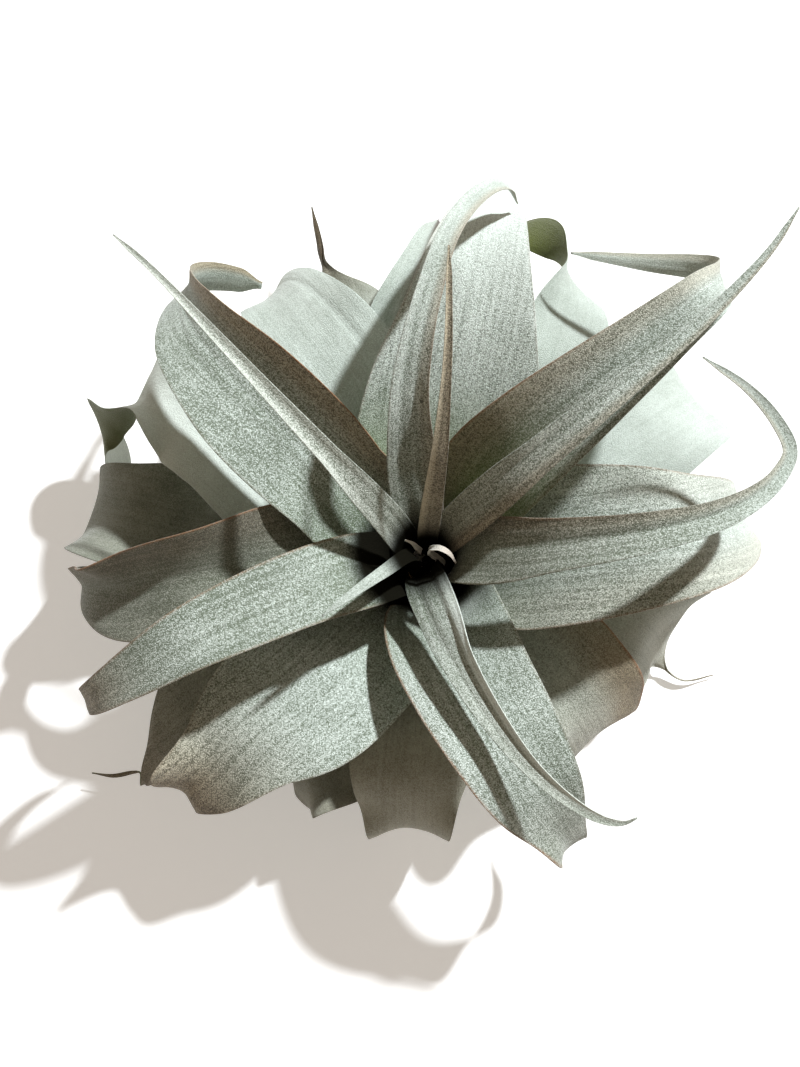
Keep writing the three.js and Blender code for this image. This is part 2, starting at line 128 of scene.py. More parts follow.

# The stem: its dry stub, as distance from the axis and height, and then its steps, clear
# of the feet, up to a low point at the top. Between two heights it is painted dark, as the
# heart's shade. The hollows between its fibres have a depth, and so many come to a metre
# across and along it.
STUB = [(10.6, 3.5), (10.5, 4.8), (10.6, 6), (11.8, 7.6), (12.7, 9)]
STEM_STEPS = 12
STEM_CLEARANCE = 1.1
THINNEST_STEM = 0.8
STEM_POINT = 1
STEM_SHADE_HEIGHTS = (30, 38)
HOLLOW_DEPTH = 0.5
HOLLOWS = (700, 700, 90)

# Markings of a leaf.
VEIN_LENGTH = 60
VEIN_SPACING = 1.1
PATCH_SIZE = 15
BRUISE_SPACING = 12

# The studio, in metres and degrees. The lens and its sensor are in millimetres.
LAMP_SIZE = 0.09
LAMP_DISTANCE = 1.8
LAMP_TARGET = (0, 0, 0.05)
LENS = 44.8
SENSOR_WIDTH = 36
CAMERA_TILT = 10
CAMERA_DISTANCE = 0.36
CAMERA_TARGET = (-0.008, 0.0045, 0.065)

# The leaves in the order they grow, the lowest first. A path point is distance from the
# axis, direction in degrees and height, in millimetres. Widths, cup, lean and crease are
# given at even places from foot to tip. A ripple is its height, how often it comes along
# the leaf and its phase in degrees. A swell is its share of the length, side, lift and
# reach. Right is the breadth of the right half as a share of the left one's.
LEAVES = [
    dict(
        name="outer_leaf_01", turn=108,
        path=[(36.2, 109.4, 20), (56.1, 109.1, 29), (73.1, 108.2, 34),
              (87.7, 107.9, 33), (96.5, 108.2, 30), (102.4, 108.2, 28), (111.5, 107.6, 27),
              (120.6, 107.2, 27)],
        widths=[22, 34, 42, 45, 46, 46, 45, 43, 40, 36, 31, 24, 10, 2, 2, 1.6, 1.3],
        cup=[20, 12, 12, 20, 20], ripple=(1.5, 3, 0),
    ),
    dict(
        name="outer_leaf_02", turn=250,
        path=[(36, 245.6, 21), (52.3, 237.6, 25), (65, 233.1, 22), (70.6, 232.2, 13),
              (68.2, 231.8, 5), (59.6, 233.7, 3), (50.4, 237, 6)],
        widths=[22, 40, 47, 50, 49, 42, 24, 10, 1.5], cup=[30, 16, 8, 10, 10],
        ripple=(1.8, 5, 40), swells=[(0.58, 1, 5, 0.04)],
    ),
    dict(
        name="outer_leaf_03", turn=345,
        path=[(33.9, 350.2, 24), (54.6, 346.6, 31), (66.4, 344.7, 27),
              (72.7, 343, 16), (77.4, 340.2, 6), (85.9, 338.8, 3), (94.8, 341.9, 2)],
        widths=[22, 36, 44, 46, 45, 43, 41, 39, 36, 13, 1.8, 1.3, 1.3],
        cup=[30, 18, 10, 20, 20], lean=[0, 0, 0, 0, 0, 0, 10, 60, 80], ripple=(1.5, 3, 120),
        swells=[(0.6, 1, 9, 0.08)],
    ),
    dict(
        name="outer_leaf_04", turn=168,
        path=[(39.5, 168.7, 25), (66.4, 170.8, 36), (87.3, 170.5, 38),
              (100.5, 169.2, 28), (103.5, 168.5, 12), (96.4, 167.3, 4), (86.2, 166.7, 3)],
        widths=[22, 36, 40, 39, 36, 31, 24, 12, 2], cup=[30, 14, 10, 14, 20],
        ripple=(1.2, 4, 200), swells=[(0.62, 1, 12, 0.07)],
    ),
    dict(
        name="outer_leaf_05", turn=98,
        path=[(39.6, 101.6, 29.5), (57.4, 100.4, 40.5), (71.4, 98.6, 47),
              (81.1, 94.6, 50), (91.9, 91.1, 48), (100.5, 89.3, 43), (107.5, 88.1, 35)],
        widths=[20, 27, 30, 26, 20, 15.5, 12, 8, 3], cup=[26, 36, 64, 76, 60], crease=0.7,
        lean=[0, 0, -12, -28, -40], ripple=(0.5, 3, 90),
    ),
    dict(
        name="outer_leaf_06", turn=217,
        path=[(35.9, 213.7, 27), (64.2, 215.1, 36), (85.6, 215.9, 32.5),
              (99.5, 216, 23.5), (105.1, 216.9, 15), (105.1, 214.5, 10),
              (107.6, 213.6, 8.5), (112.8, 212.4, 8), (118.1, 210.3, 8)],
        widths=[22, 36, 43, 46, 46, 45, 43, 41, 36, 26, 11, 3, 1.6, 1.4, 1.3],
        cup=[30, 18, 14, 24, 20], ripple=(1.5, 3, 20),
    ),
    dict(
        name="outer_leaf_07", turn=22,
        path=[(35, 31.2, 33), (60.5, 31.4, 43), (80.1, 31.7, 44), (94.3, 32, 34),
              (98.2, 32.4, 19), (90.3, 32.9, 7), (80, 33.9, 3.5)],
        widths=[22, 42, 44, 42, 39, 34, 25, 12, 2], cup=[30, 14, 10, 14, 20],
        ripple=(1, 4, 60), swells=[(0.6, -1, 5, 0.07)],
    ),
    dict(
        name="outer_leaf_08", turn=268,
        path=[(33.8, 266.8, 32), (49.9, 265, 40), (63.9, 264.9, 37),
              (74.6, 265.9, 24), (73.1, 266.1, 10), (63.9, 267.5, 4), (53.9, 269.7, 6)],
        widths=[22, 37, 40, 39, 33, 26, 20, 11, 2], cup=[30, 14, 6, 8, 20],
        ripple=(1.5, 4, 150), swells=[(0.67, -1, 5, 0.06), (0.64, 1, 3, 0.06)],
    ),
    dict(
        name="middle_leaf_01", turn=152,
        path=[(44.5, 148.9, 40), (68.4, 145, 49), (84.9, 146.4, 50),
              (94.4, 149.9, 47), (100, 154.4, 43), (105.1, 155.6, 38), (106.7, 156.5, 32),
              (103.7, 158.1, 25), (100.5, 160.3, 20), (98.2, 164.1, 14)],
        widths=[21, 30, 38, 41, 44, 46, 46, 45, 44, 41, 33, 14, 14, 17, 16, 13, 10],
        cup=[34, 20, 16, 10, 6], lean=[0, 0, 0, 0, 0, 5, 110, 178, 195],
        ripple=(0.5, 3, 100),
    ),
    dict(
        name="middle_leaf_02", turn=57,
        path=[(44.2, 58.3, 43), (67.2, 57.3, 52), (83.6, 60.3, 50), (94.5, 63.8, 46),
              (104, 68.1, 42), (107.7, 72.4, 37), (105.7, 76.2, 34), (103.9, 81.1, 31)],
        widths=[21, 28, 32, 34, 34, 34, 34, 33, 29, 25.5, 21, 14, 8, 11, 12, 9, 5],
        cup=[34, 22, 18, 12, 6], lean=[0, 0, 0, 0, 0, 10, 90, 160, 180],
        ripple=(0.5, 3, 10),
    ),
    dict(
        name="middle_leaf_03", turn=322,
        path=[(35.7, 318.9, 40), (52.8, 316.6, 45), (62.5, 316.5, 40),
              (69, 315.8, 28), (65.6, 317, 16), (57.7, 317.7, 11)],
        widths=[21, 38, 41, 42, 41, 36, 26, 13, 2], cup=[34, 16, 8, 10, 20],
        ripple=(1, 4, 30), swells=[(0.6, 1, 5, 0.07), (0.56, -1, 11, 0.07)],
    ),
    dict(
        name="middle_leaf_04", turn=118,
        path=[(38, 113, 44), (57, 115, 53), (76, 118, 55), (89, 119, 48),
              (94, 121, 36), (90, 124, 26), (81, 127, 22)],
        widths=[21, 36, 38, 38, 37, 32, 23, 12, 2], cup=[34, 18, 12, 20, 24],
        ripple=(1, 4, 70),
    ),
    dict(
        name="middle_leaf_05", turn=228,
        path=[(30, 228.4, 44), (48.2, 228.3, 54.5), (68.2, 225.3, 57),
              (86.4, 225.5, 50), (94, 224.4, 42), (91.9, 223.9, 37), (84.7, 224.9, 40)],
        widths=[20, 38, 45, 46, 44.5, 35, 24, 11, 2], cup=[34, 12, 8, 14, 20],
        ripple=(0.6, 4, 50), swells=[(0.8, -1, 13, 0.06)],
    ),
    dict(
        name="middle_leaf_06", turn=0,
        path=[(25.8, 4.2, 48), (46, 2.8, 63), (68.7, 3.1, 69), (84.1, 5.5, 61),
              (89.7, 8, 48), (85.1, 9, 38), (76.6, 9.3, 35)],
        widths=[20, 41, 47, 45, 40, 33, 24, 12, 2], cup=[34, 22, 12, 18, 20],
        ripple=(0.8, 4, 0),
    ),
    dict(
        name="middle_leaf_07", turn=184,
        path=[(26.2, 181.5, 46), (43.4, 183.9, 57), (65.5, 186.1, 62),
              (86.4, 186.6, 53), (98.8, 184.2, 42), (99.6, 181.3, 31), (92.6, 180.3, 25)],
        widths=[20, 26, 32, 38, 38, 33, 25, 11, 2], cup=[34, 30, 60, 56, 30], crease=0.75,
        lean=[0, 0, 0, -14, -26, -25, -20, -18, -10], ripple=(0.6, 4, 90),
        swells=[(0.7, -1, 7, 0.05)],
    ),
    dict(
        name="middle_leaf_08", turn=80,
        path=[(30.2, 80.5, 54), (46.2, 80.8, 68), (66.2, 80.1, 79), (86.1, 79.9, 83),
              (98, 79.8, 76), (105.8, 80.1, 63), (103.2, 79.8, 53), (95.9, 79.1, 50)],
        widths=[19, 42, 52, 48, 38, 27, 17, 8, 2], cup=[34, 20, 14, 20, 20],
        ripple=(0.4, 3, 0), swells=[(0.6, 1, 11, 0.05)],
    ),
    dict(
        name="middle_leaf_09", turn=294,
        path=[(22.9, 283.6, 57), (37.8, 286.7, 70), (53.9, 290.4, 74),
              (69.8, 293, 69), (83.2, 295.6, 55), (88.3, 296.6, 41), (84.7, 296.8, 30),
              (76.6, 296.7, 26)],
        widths=[19, 34, 35, 33, 30, 24.5, 14, 8, 2], cup=[34, 20, 12, 14, 20],
        ripple=(0.6, 4, 180), swells=[(0.77, -1, 5, 0.05)],
    ),
    dict(
        name="middle_leaf_10", turn=136,
        path=[(21.3, 136.9, 54), (42.1, 135.8, 70), (62.8, 136.5, 78),
              (82.8, 135.8, 77), (96, 133.4, 68), (104.4, 130.4, 57), (104.7, 127.1, 51),
              (100.2, 123.6, 49), (94.6, 120.8, 49)],
        widths=[18, 35, 42, 48, 47, 36, 22, 14, 8], cup=[34, 60, 66, 56, 16], crease=0.6,
        lean=[0, -12, -20, -22, -22, -26, -30, -40, -50], ripple=(0.3, 3, 0), right=0.65,
    ),
    dict(
        name="inner_leaf_01", turn=38,
        path=[(24.9, 50.7, 60), (38.8, 45.9, 77), (56, 42.4, 90), (75.8, 40.7, 99),
              (89.8, 40.4, 102), (97.6, 41, 97), (101.6, 43.1, 90), (101.5, 46.1, 84),
              (97.8, 52.9, 75), (93.3, 64.6, 66)],
        widths=[17, 29, 30.5, 26.5, 20.5, 14.5, 8, 4.8, 1.8], cup=[34, 30, 26, 20, 10],
        lean=[0, 0, 0, 0, 0, 0, 50, 70, 70],
    ),
    dict(
        name="inner_leaf_02", turn=205,
        path=[(14, 199, 60), (34, 200.4, 77), (64, 203, 85), (83, 204.2, 80),
              (96, 204.3, 70), (101, 203.4, 58), (97, 202.4, 48), (89, 202.4, 44)],
        widths=[16, 19.6, 21.8, 21, 19.2, 15.4, 11, 6.6, 2], cup=[34, 26, 18, 16, 20],
        ripple=(0.4, 4, 0),
    ),
    dict(
        name="inner_leaf_03", turn=355,
        path=[(8.7, 356, 60), (27.9, 353.2, 88), (52.9, 358.1, 101), (68.9, 2, 100),
              (81, 6, 96), (88, 9.2, 93), (92.9, 13, 92), (91, 18.1, 95), (86, 24.1, 100),
              (78.5, 32, 105)],
        widths=[15, 18, 19, 15.5, 12, 8.5, 5.4, 3.4, 1.3], cup=[34, 40, 50, 50, 44],
        crease=0.5, lean=[0, 0, 8, 8, 0],
    ),
    dict(
        name="inner_leaf_04", turn=97,
        path=[(10.1, 104.1, 58), (24.1, 102.2, 80), (36.2, 99.1, 96),
              (48.1, 94.3, 106), (60.1, 90.2, 110), (71.5, 87.1, 109), (82.9, 83.3, 104),
              (90.8, 79.9, 98), (94.1, 77.5, 92), (93.7, 75.6, 85)],
        widths=[13, 13.5, 14.5, 13, 10.8, 8, 6, 5, 3], cup=[34, 40, 56, 50, 40], crease=0.6,
    ),
    dict(
        name="inner_leaf_05", turn=295,
        path=[(6.7, 262.6, 59), (24.1, 281.5, 73), (43.8, 288, 81), (61.8, 293.1, 82),
              (75.3, 297.9, 79), (83.3, 301.5, 77), (86.6, 304.1, 78), (87.1, 306.1, 80)],
        widths=[10.4, 10.2, 12.8, 12.5, 11, 8.5, 5.5, 3.4, 1.5], cup=[33, 36, 66, 66, 50],
        crease=0.6, lean=[0, 4, 14, 16, 14, 8, 0],
    ),
    dict(
        name="inner_leaf_06", turn=134,
        path=[(7.3, 155.6, 60), (12.8, 150.7, 77), (28.1, 145, 95),
              (52.5, 140.9, 106), (75.4, 139, 112), (92.5, 138, 112), (106.2, 137.8, 110)],
        widths=[9, 8.8, 9, 8, 6.8, 5, 3.4, 2, 1.3], cup=[34, 60, 70, 60, 40], crease=0.85,
    ),
    dict(
        name="inner_leaf_07", turn=42,
        path=[(6, 43.4, 60), (19, 34.2, 88), (40, 34.3, 106), (60, 35.1, 114),
              (80, 36.1, 118), (100.9, 38.1, 122), (112.1, 39.9, 125)],
        widths=[9, 10, 11.3, 11, 9.5, 7, 4.6, 2.6, 1.3], cup=[34, 42, 50, 44, 36],
        crease=0.6,
    ),
    dict(
        name="inner_leaf_08", turn=214,
        path=[(4, 205, 58), (6.7, 204.4, 72), (14.1, 214.7, 82), (22.5, 216.7, 88),
              (29.5, 217.4, 91), (34.5, 217.6, 92)],
        widths=[6.4, 4.8, 4.4, 4.2, 4, 3.6, 3, 2.2, 1.3], cup=[34, 40, 40, 40], crease=0.5,
    ),
    dict(
        name="inner_leaf_09", turn=84,
        path=[(4.1, 94.3, 60), (7.5, 89.5, 80), (21.2, 84.4, 103), (39, 85.1, 119),
              (52.1, 86.2, 125), (61.4, 86.9, 128)],
        widths=[6, 6, 6, 5.6, 4.6, 3.6, 2.6, 1.8, 1.3], cup=[34, 44, 50, 44], crease=0.7,
    ),
    dict(
        name="heart_leaf_01", turn=340,
        path=[(1.1, 352.5, 58), (0.6, 281, 65), (0.7, 320.3, 70), (2.7, 344.4, 72.5),
              (5.4, 337.5, 72.5), (8.1, 328.8, 69)],
        widths=[2.4, 2.2, 2, 2, 2, 1.9, 1.7, 1.5, 1.3], cup=[30, 40, 40],
    ),
    dict(
        name="heart_leaf_02", turn=165,
        path=[(2.3, 165.9, 58), (3.8, 165.3, 64), (5, 162, 67), (6.9, 163.8, 69.5)],
        widths=[3, 2.4, 2, 1.9, 1.7, 1.3], cup=[30, 40, 40],
    ),
]


# How each leaf is finished. Felt, grain and brown are given at even places from foot to tip:
# how far the pale felt covers the skin, how coarse it looks and how far it has dried to
# brown; on some leaves little felt and much brown also stand for painted shade. Green is the
# share of green at the foot, line the strength of the reddish margin to the left and to the
# right, and olive how far the underside near a curled tip turns dark
# olive, partly its own green and partly painted shade. side_felt_and_painted_light adds felt
# and side_brown_and_painted_shade adds brown towards the left and the right margin: partly
# the leaf's own colour, partly painted light on a wall turned to the lamp and painted shade
# on one turned away. line_end is where on the length the margin's line has faded.
# deep is how dark the foot is painted in the heart's funnel, as shade,
# shade_widening is how much wider this painted shade reaches there and soft how much
# further its rim fades, in millimetres. A pleat is its place across, its depth in
# millimetres and its breadth across.
LOOKS = {
    "outer_leaf_01": dict(
        felt=[0.6, 0.6, 0.6, 0.6, 0.55, 0.3, 0, 0], grain=[0.15],
        brown=[0, 0, 0, 0, 0.1, 0.4, 1, 1],
    ),
    # Partly painted shade: its little felt and much brown also darken it as if in shade.
    "outer_leaf_02": dict(felt=[0.3], grain=[0.15], brown=[0.6]),
    "outer_leaf_03": dict(felt=[0.45], grain=[0.2], brown=[0.35, 0.35, 0.35, 0.5, 0.9]),
    # Partly painted shade: its little felt and much brown also darken it as if in shade.
    "outer_leaf_04": dict(felt=[0.2], grain=[0.15], brown=[0.4]),
    # Painted shadow: more brown and less felt towards its right margin darken its right wall.
    "outer_leaf_05": dict(
        felt=[0.5], grain=[0.2], brown=[0], side_brown_and_painted_shade=(0, 1.0), side_felt_and_painted_light=(0, -0.5),
    ),
    # Partly painted shade: its little felt and much brown also darken it as if in shade.
    "outer_leaf_06": dict(
        felt=[0.33, 0.33, 0.33, 0.33, 0.28, 0.25], grain=[0.25],
        brown=[0.4, 0.4, 0.4, 0.5, 0.9, 1], olive=0.8,
    ),
    "outer_leaf_07": dict(felt=[0.6], grain=[0.15], brown=[0]),
    # Partly painted shade: its little felt and much brown also darken it as if in shade.
    "outer_leaf_08": dict(felt=[0.46], grain=[0.2], brown=[0.6]),
    "middle_leaf_01": dict(felt=[0.82], grain=[0.15], brown=[0.1], olive=0.9),
    "middle_leaf_02": dict(felt=[0.5], grain=[0.12], brown=[0], olive=1.0),
    "middle_leaf_03": dict(
        felt=[0.46], grain=[0.35], brown=[0.3, 0.3, 0.3, 0.6, 0.9], line=(0.9, 0.1),
        side_brown_and_painted_shade=(0.6, 0),
    ),
    "middle_leaf_04": dict(
        felt=[0.6], grain=[0.2], brown=[0], pleats=[(-0.55, -0.5, 0.06), (0.3, -0.3, 0.15)],
    ),
    "middle_leaf_05": dict(
        felt=[0.48, 0.48, 0.48, 0.48, 0.4, 0.28], grain=[0.6],
        brown=[0, 0, 0, 0, 0.3, 1, 1], line=(0.2, 0.2), pleats=[(-0.12, -0.35, 0.05)],
    ),
    "middle_leaf_06": dict(
        felt=[0.15, 0.38, 0.48, 0.7, 0.75], grain=[0.6, 0.6, 0.6, 0.3, 0.15], brown=[0],
        line=(0.5, 0.5), pleats=[(-0.45, -0.35, 0.05), (0.1, 0.3, 0.2)], side_brown_and_painted_shade=(0.2, 0.35),
        side_felt_and_painted_light=(0.1, 0),
    ),
    # Partly painted shade: its little felt and much brown also darken it as if in shade.
    "middle_leaf_07": dict(
        felt=[0.15], grain=[0.35], brown=[0.35], side_brown_and_painted_shade=(0.1, 0.4), line=(0.2, 0.8),
        pleats=[(-0.1, -0.3, 0.05)],
    ),
    "middle_leaf_08": dict(
        felt=[0.78, 0.66, 0.7, 0.98, 1.1], grain=[0.4, 0.6, 0.6, 0.25, 0.1], brown=[0],
        green=0.8, line=(0.3, 0.2), pleats=[(0.0, 0.25, 0.2)],
    ),
    # Partly painted shade: the little felt and the brown at its end also stand for the shade
    # there.
    "middle_leaf_09": dict(
        felt=[0.2, 0.34, 0.44, 0.42, 0.3, 0.15], grain=[0.6, 0.6, 0.6, 0.3],
        brown=[0, 0, 0, 0, 0.3, 0.6], line=(0.2, 0.9), side_felt_and_painted_light=(0, 0.05),
    ),
    # Partly painted shade: more brown and felt towards its right margin stand for its shaded
    # right wall, and the heart's painted dark reaches further over its foot.
    "middle_leaf_10": dict(
        felt=[0.1, 0.36, 0.33, 0.37, 0.6], grain=[0.65, 0.65, 0.65, 0.4, 0.2], brown=[0],
        green=0.25, line=(0.2, 1.0), olive=0.1, side_brown_and_painted_shade=(0, 0.9), side_felt_and_painted_light=(0, 0.15),
        pleats=[(0.22, -0.5, 0.035), (0.42, -0.4, 0.035), (-0.3, -0.25, 0.06)],
        line_end=0.8, shade_widening=8,
    ),
    "inner_leaf_01": dict(
        felt=[0.3, 0.31, 0.32, 0.33, 0.36, 0.47, 0.55, 0.75, 0.85],
        grain=[0.5, 0.6, 0.6, 0.3, 0.3], brown=[0.15, 0.35, 0, 0, 0], green=1.0,
        line=(0.8, 0.2), side_brown_and_painted_shade=(0.5, 0),
        pleats=[(0.3, -0.25, 0.08), (-0.1, 0.3, 0.12), (-0.5, -0.25, 0.08)], line_end=0.65,
        side_felt_and_painted_light=(0.2, 0), olive=0.2,
    ),
    "inner_leaf_02": dict(
        felt=[0.34, 0.33, 0.32, 0.32], grain=[0.6], brown=[0, 0, 0, 0, 0.1, 0.9, 1],
        line=(0.4, 0.6),
        pleats=[(0.3, -0.35, 0.05), (-0.1, -0.25, 0.05), (0.6, -0.3, 0.06)], shade_widening=16,
    ),
    "inner_leaf_03": dict(
        felt=[0.12, 0.18, 0.28, 0.44, 0.56], grain=[0.55, 0.65, 0.6, 0.4, 0.3],
        brown=[0.5, 0.3, 0.1, 0, 0], line=(0.5, 0.2), side_brown_and_painted_shade=(0.5, 0),
        pleats=[(0.5, 0.35, 0.1), (0.1, -0.35, 0.1), (-0.25, 0.3, 0.1)], line_end=0.6,
    ),
    "inner_leaf_04": dict(
        felt=[0.1, 0.34, 0.45, 0.52, 0.6], grain=[0.55, 0.7, 0.6, 0.3, 0.2],
        brown=[0.6, 0.25, 0, 0, 0], line=(0.1, 0.3), side_brown_and_painted_shade=(0, 0.5), side_felt_and_painted_light=(0.1, 0.05),
        pleats=[(0.5, -0.3, 0.1), (0.0, 0.4, 0.14), (-0.4, -0.35, 0.1)],
    ),
    # Painted glow: more felt towards its left margin lightens its shaded wall. Painted shadow:
    # its thin felt at the foot and the wider, softer heart's dark darken its foot.
    "inner_leaf_05": dict(
        felt=[0.05, 0.3, 0.45, 0.45, 0.45], grain=[0.5, 0.5, 0.3], brown=[0, 0.1, 0.2],
        side_felt_and_painted_light=(0.5, 0),
        pleats=[(0.3, -0.4, 0.1), (-0.1, 0.4, 0.12), (0.6, 0.35, 0.1), (-0.5, -0.35, 0.1)],
        shade_widening=3, soft=5,
    ),
    "inner_leaf_06": dict(
        felt=[0.2, 0.35, 0.45, 0.55, 0.55], grain=[0.6, 0.6, 0.3], brown=[0.2],
        side_felt_and_painted_light=(0.3, 0.1), pleats=[(-0.4, -0.35, 0.12), (0.4, -0.35, 0.12)], shade_widening=5.5,
    ),
    "inner_leaf_07": dict(
        felt=[0.42, 0.42, 0.44, 0.45, 0.5], grain=[0.6, 0.7, 0.4],
        brown=[0.9, 0.5, 0.1, 0, 0.1], side_brown_and_painted_shade=(0, 0.5),
        pleats=[(-0.45, -0.4, 0.1), (0.0, 0.4, 0.12), (0.45, -0.4, 0.1)],
    ),
    "inner_leaf_08": dict(felt=[0.3, 0.5], grain=[0.3], brown=[0], shade_widening=11),
    "inner_leaf_09": dict(felt=[0.36], grain=[0.5], brown=[0.9], side_felt_and_painted_light=(0.6, 0)),
    "heart_leaf_01": dict(
        felt=[1.2, 1.2, 1.1, 0.5], grain=[0.1], brown=[0, 0, 0, 0.4], deep=0,
    ),
    "heart_leaf_02": dict(felt=[1.2, 1.2, 1.0], grain=[0.1], brown=[0], deep=0),
}


# Small sums

def srgb(code):
    """A colour written as sRGB hex, turned to the linear values that shaders take."""
    parts = [int(code[i:i + 2], 16) / 255 for i in (1, 3, 5)]
    linear = [p / 12.92 if p <= 0.04045 else ((p + 0.055) / 1.055) ** 2.4 for p in parts]
    return (*linear, 1.0)


def around(distance, direction, height):
    """A point given by its distance from the axis, its direction and its height."""
    angle = math.radians(direction)
    return Vector((distance * math.cos(angle), distance * math.sin(angle), height))


def smooth_step(start, end, value):
    part = min(max((value - start) / (end - start), 0), 1)
    return part * part * (3 - 2 * part)


def along(values, t):
    """A smooth value between evenly spaced ones, at t from 0 to 1."""
    if len(values) == 1:
        return values[0]
    place = t * (len(values) - 1)
    step = min(int(place), len(values) - 2)
    part = place - step
    start, end = values[step], values[step + 1]
    slope_start = (end - values[max(step - 1, 0)]) / 2
    slope_end = (values[min(step + 2, len(values) - 1)] - start) / 2
    square, cube = part ** 2, part ** 3
    return (
        start * (2 * cube - 3 * square + 1) + slope_start * (cube - 2 * square + part)
        + end * (3 * square - 2 * cube) + slope_end * (cube - square)
    )


# Leaf form

def foot_radius(rank):
    return WIDEST_FOOT - FOOT_INSET * rank


def rib_points(leaf, rank):
    """The points that the midrib runs through, from the foot on the stem to the tip."""
    rise = math.radians(LOWEST_RISE + RISE_STEP * rank)
    radius = foot_radius(rank)
    height = LOWEST_FOOT + FOOT_STEP * rank
    reach = radius + FOOT_RUN * math.cos(rise)
    feet = [
        around(radius, leaf["turn"], height),
        around(reach, leaf["turn"], height + FOOT_RUN * math.sin(rise)),
    ]
    return feet + [around(*point) for point in leaf["path"]]


def rib_place(points, share):
    """A point of the smooth line through the points, which slows down at close ones."""
    spot = share * (len(points) - 1)
    i = min(int(spot), len(points) - 2)
    part = spot - i
    here, there = points[i], points[i + 1]
    before = points[i - 1] if i > 0 else 2 * here - there
    after = points[i + 2] if i + 2 < len(points) else 2 * there - here
    back = math.sqrt((here - before).length)
    gap = math.sqrt((there - here).length)
    ahead = math.sqrt((after - there).length)
    leave = (here - before) / back - (there - before) / (back + gap) + (there - here) / gap
    arrive = (there - here) / gap - (after - here) / (gap + ahead) + (after - there) / ahead
    leave, arrive = leave * gap, arrive * gap
    bend = -3 * here + 3 * there - 2 * leave - arrive
    twist = 2 * here - 2 * there + leave + arrive
    return here + part * (leave + part * (bend + part * twist))


def leaf_frames(leaf, rank):
    """Places, directions and sides at fine even steps, and the length of the midrib."""
    points = rib_points(leaf, rank)
    places = [rib_place(points, i / LENGTH_STEPS) for i in range(LENGTH_STEPS + 1)]
    lengths = [0.0]
    for one, two in zip(places, places[1:]):
        lengths.append(lengths[-1] + (two - one).length)
    frames = []
    side = around(1, leaf["turn"] + 90, 0)
    low = 0
    for i in range(FRAME_STEPS + 1):
        wanted = lengths[-1] * i / FRAME_STEPS
        while low < LENGTH_STEPS - 1 and lengths[low + 1] < wanted:
            low += 1
        share = (low + (wanted - lengths[low]) / (lengths[low + 1] - lengths[low])) / LENGTH_STEPS
        near = rib_place(points, max(share - NEAR, 0))
        far = rib_place(points, min(share + NEAR, 1))
        forward = (far - near).normalized()
        side = (side - forward * side.dot(forward)).normalized()
        frames.append((rib_place(points, min(share, 1)), forward, side))
    return frames, lengths[-1]


def frame_at(frames, leaf, t):
    """The place, direction, side and face at t, with the blade's lean about the midrib."""
    spot = min(t * FRAME_STEPS, FRAME_STEPS - 1e-6)
    i = int(spot)
    place, forward, side = [a.lerp(b, spot - i) for a, b in zip(frames[i], frames[i + 1])]
    forward.normalize()
    side.normalize()
    side.rotate(Quaternion(forward, math.radians(along(leaf.get("lean", [0]), t))))
    return place, forward, side, forward.cross(side)


def blade_width(leaf, rank, t, left):
    """The width at t, drawn in over the last few millimetres left to the tip."""
    foot = math.radians(LOWEST_WRAP + WRAP_STEP * rank) * foot_radius(rank)
    own = max(along(leaf["widths"], t), TIP_WIDTH)
    own *= TIP_SHARE + (1 - TIP_SHARE) * smooth_step(0, TIP_RUN, left)
    share = smooth_step(0, FOOT_SHARE, t)
    return foot * (1 - share) + own * share


def margin_lift(leaf, t, v):
    """How far the blade stands off its even cross section, in ripples and single swells."""
    height, count, phase = leaf.get("ripple", (0, 0, 0))
    turn = 2 * math.pi * count * t + math.radians(phase) + RIPPLE_SLANT * v
    ripple = height * math.sin(turn)
    lift = ripple * v * v * smooth_step(*RIPPLE_START, t) * smooth_step(*RIPPLE_END, t)
    for centre, side, rise, reach in leaf.get("swells", []):
        lift += rise * math.exp(-(((t - centre) / reach) ** 2)) * max(v * side, 0) ** 2
    return lift


def pleat_lift(leaf, t, v, width):
    """Shallow lengthwise folds, which deepen away from the foot and fade where it narrows."""
    lift = 0
    for place, depth, breadth in LOOKS[leaf["name"]].get("pleats", []):
        lift += depth * math.exp(-(((v - place) / breadth) ** 2))
    lift *= min(width / FULL_PLEAT_WIDTH, 1)
    return lift * smooth_step(*PLEAT_START, t) * smooth_step(*PLEAT_END, t)


def blade_row(frames, length, leaf, rank, t):
    """All that a row of the blade's points has in common."""
    place, forward, side, face = frame_at(frames, leaf, t)
    width = blade_width(leaf, rank, t, (1 - t) * length)
    distance = math.hypot(place.x, place.y)
    free = smooth_step(NEST_INSIDE, NEST_OUTSIDE, distance)
    nested = min(width / 2 * max(forward.z, 0) / distance, WIDEST_NEST)
    own = math.radians(along(leaf["cup"], t))
    half = max(nested * (1 - free) + own * free, FLATTEST_CUP)
    crease = leaf.get("crease", USUAL_CREASE) * free
    right = 1 + (leaf.get("right", 1) - 1) * free
    return place, side, face, width, half, crease, right


def blade_point(row, leaf, t, v):
    """A point of the blade's middle surface: t runs from foot to tip, v from -1 to 1."""
    place, side, face, width, half, crease, right = row
    bend = width / 2 / half
    w = v * right if v < 0 else v
    folded = math.sqrt(w * w + CREASE_ROUNDING ** 2) - CREASE_ROUNDING
    across = bend * (math.sin(w * half) * (1 - crease) + w * math.sin(half) * crease)
    cupped = (1 - math.cos(w * half)) * (1 - crease) + folded * (1 - math.cos(half)) * crease
    up = bend * cupped + margin_lift(leaf, t, v) + pleat_lift(leaf, t, v, width)
    return place + side * across + face * up


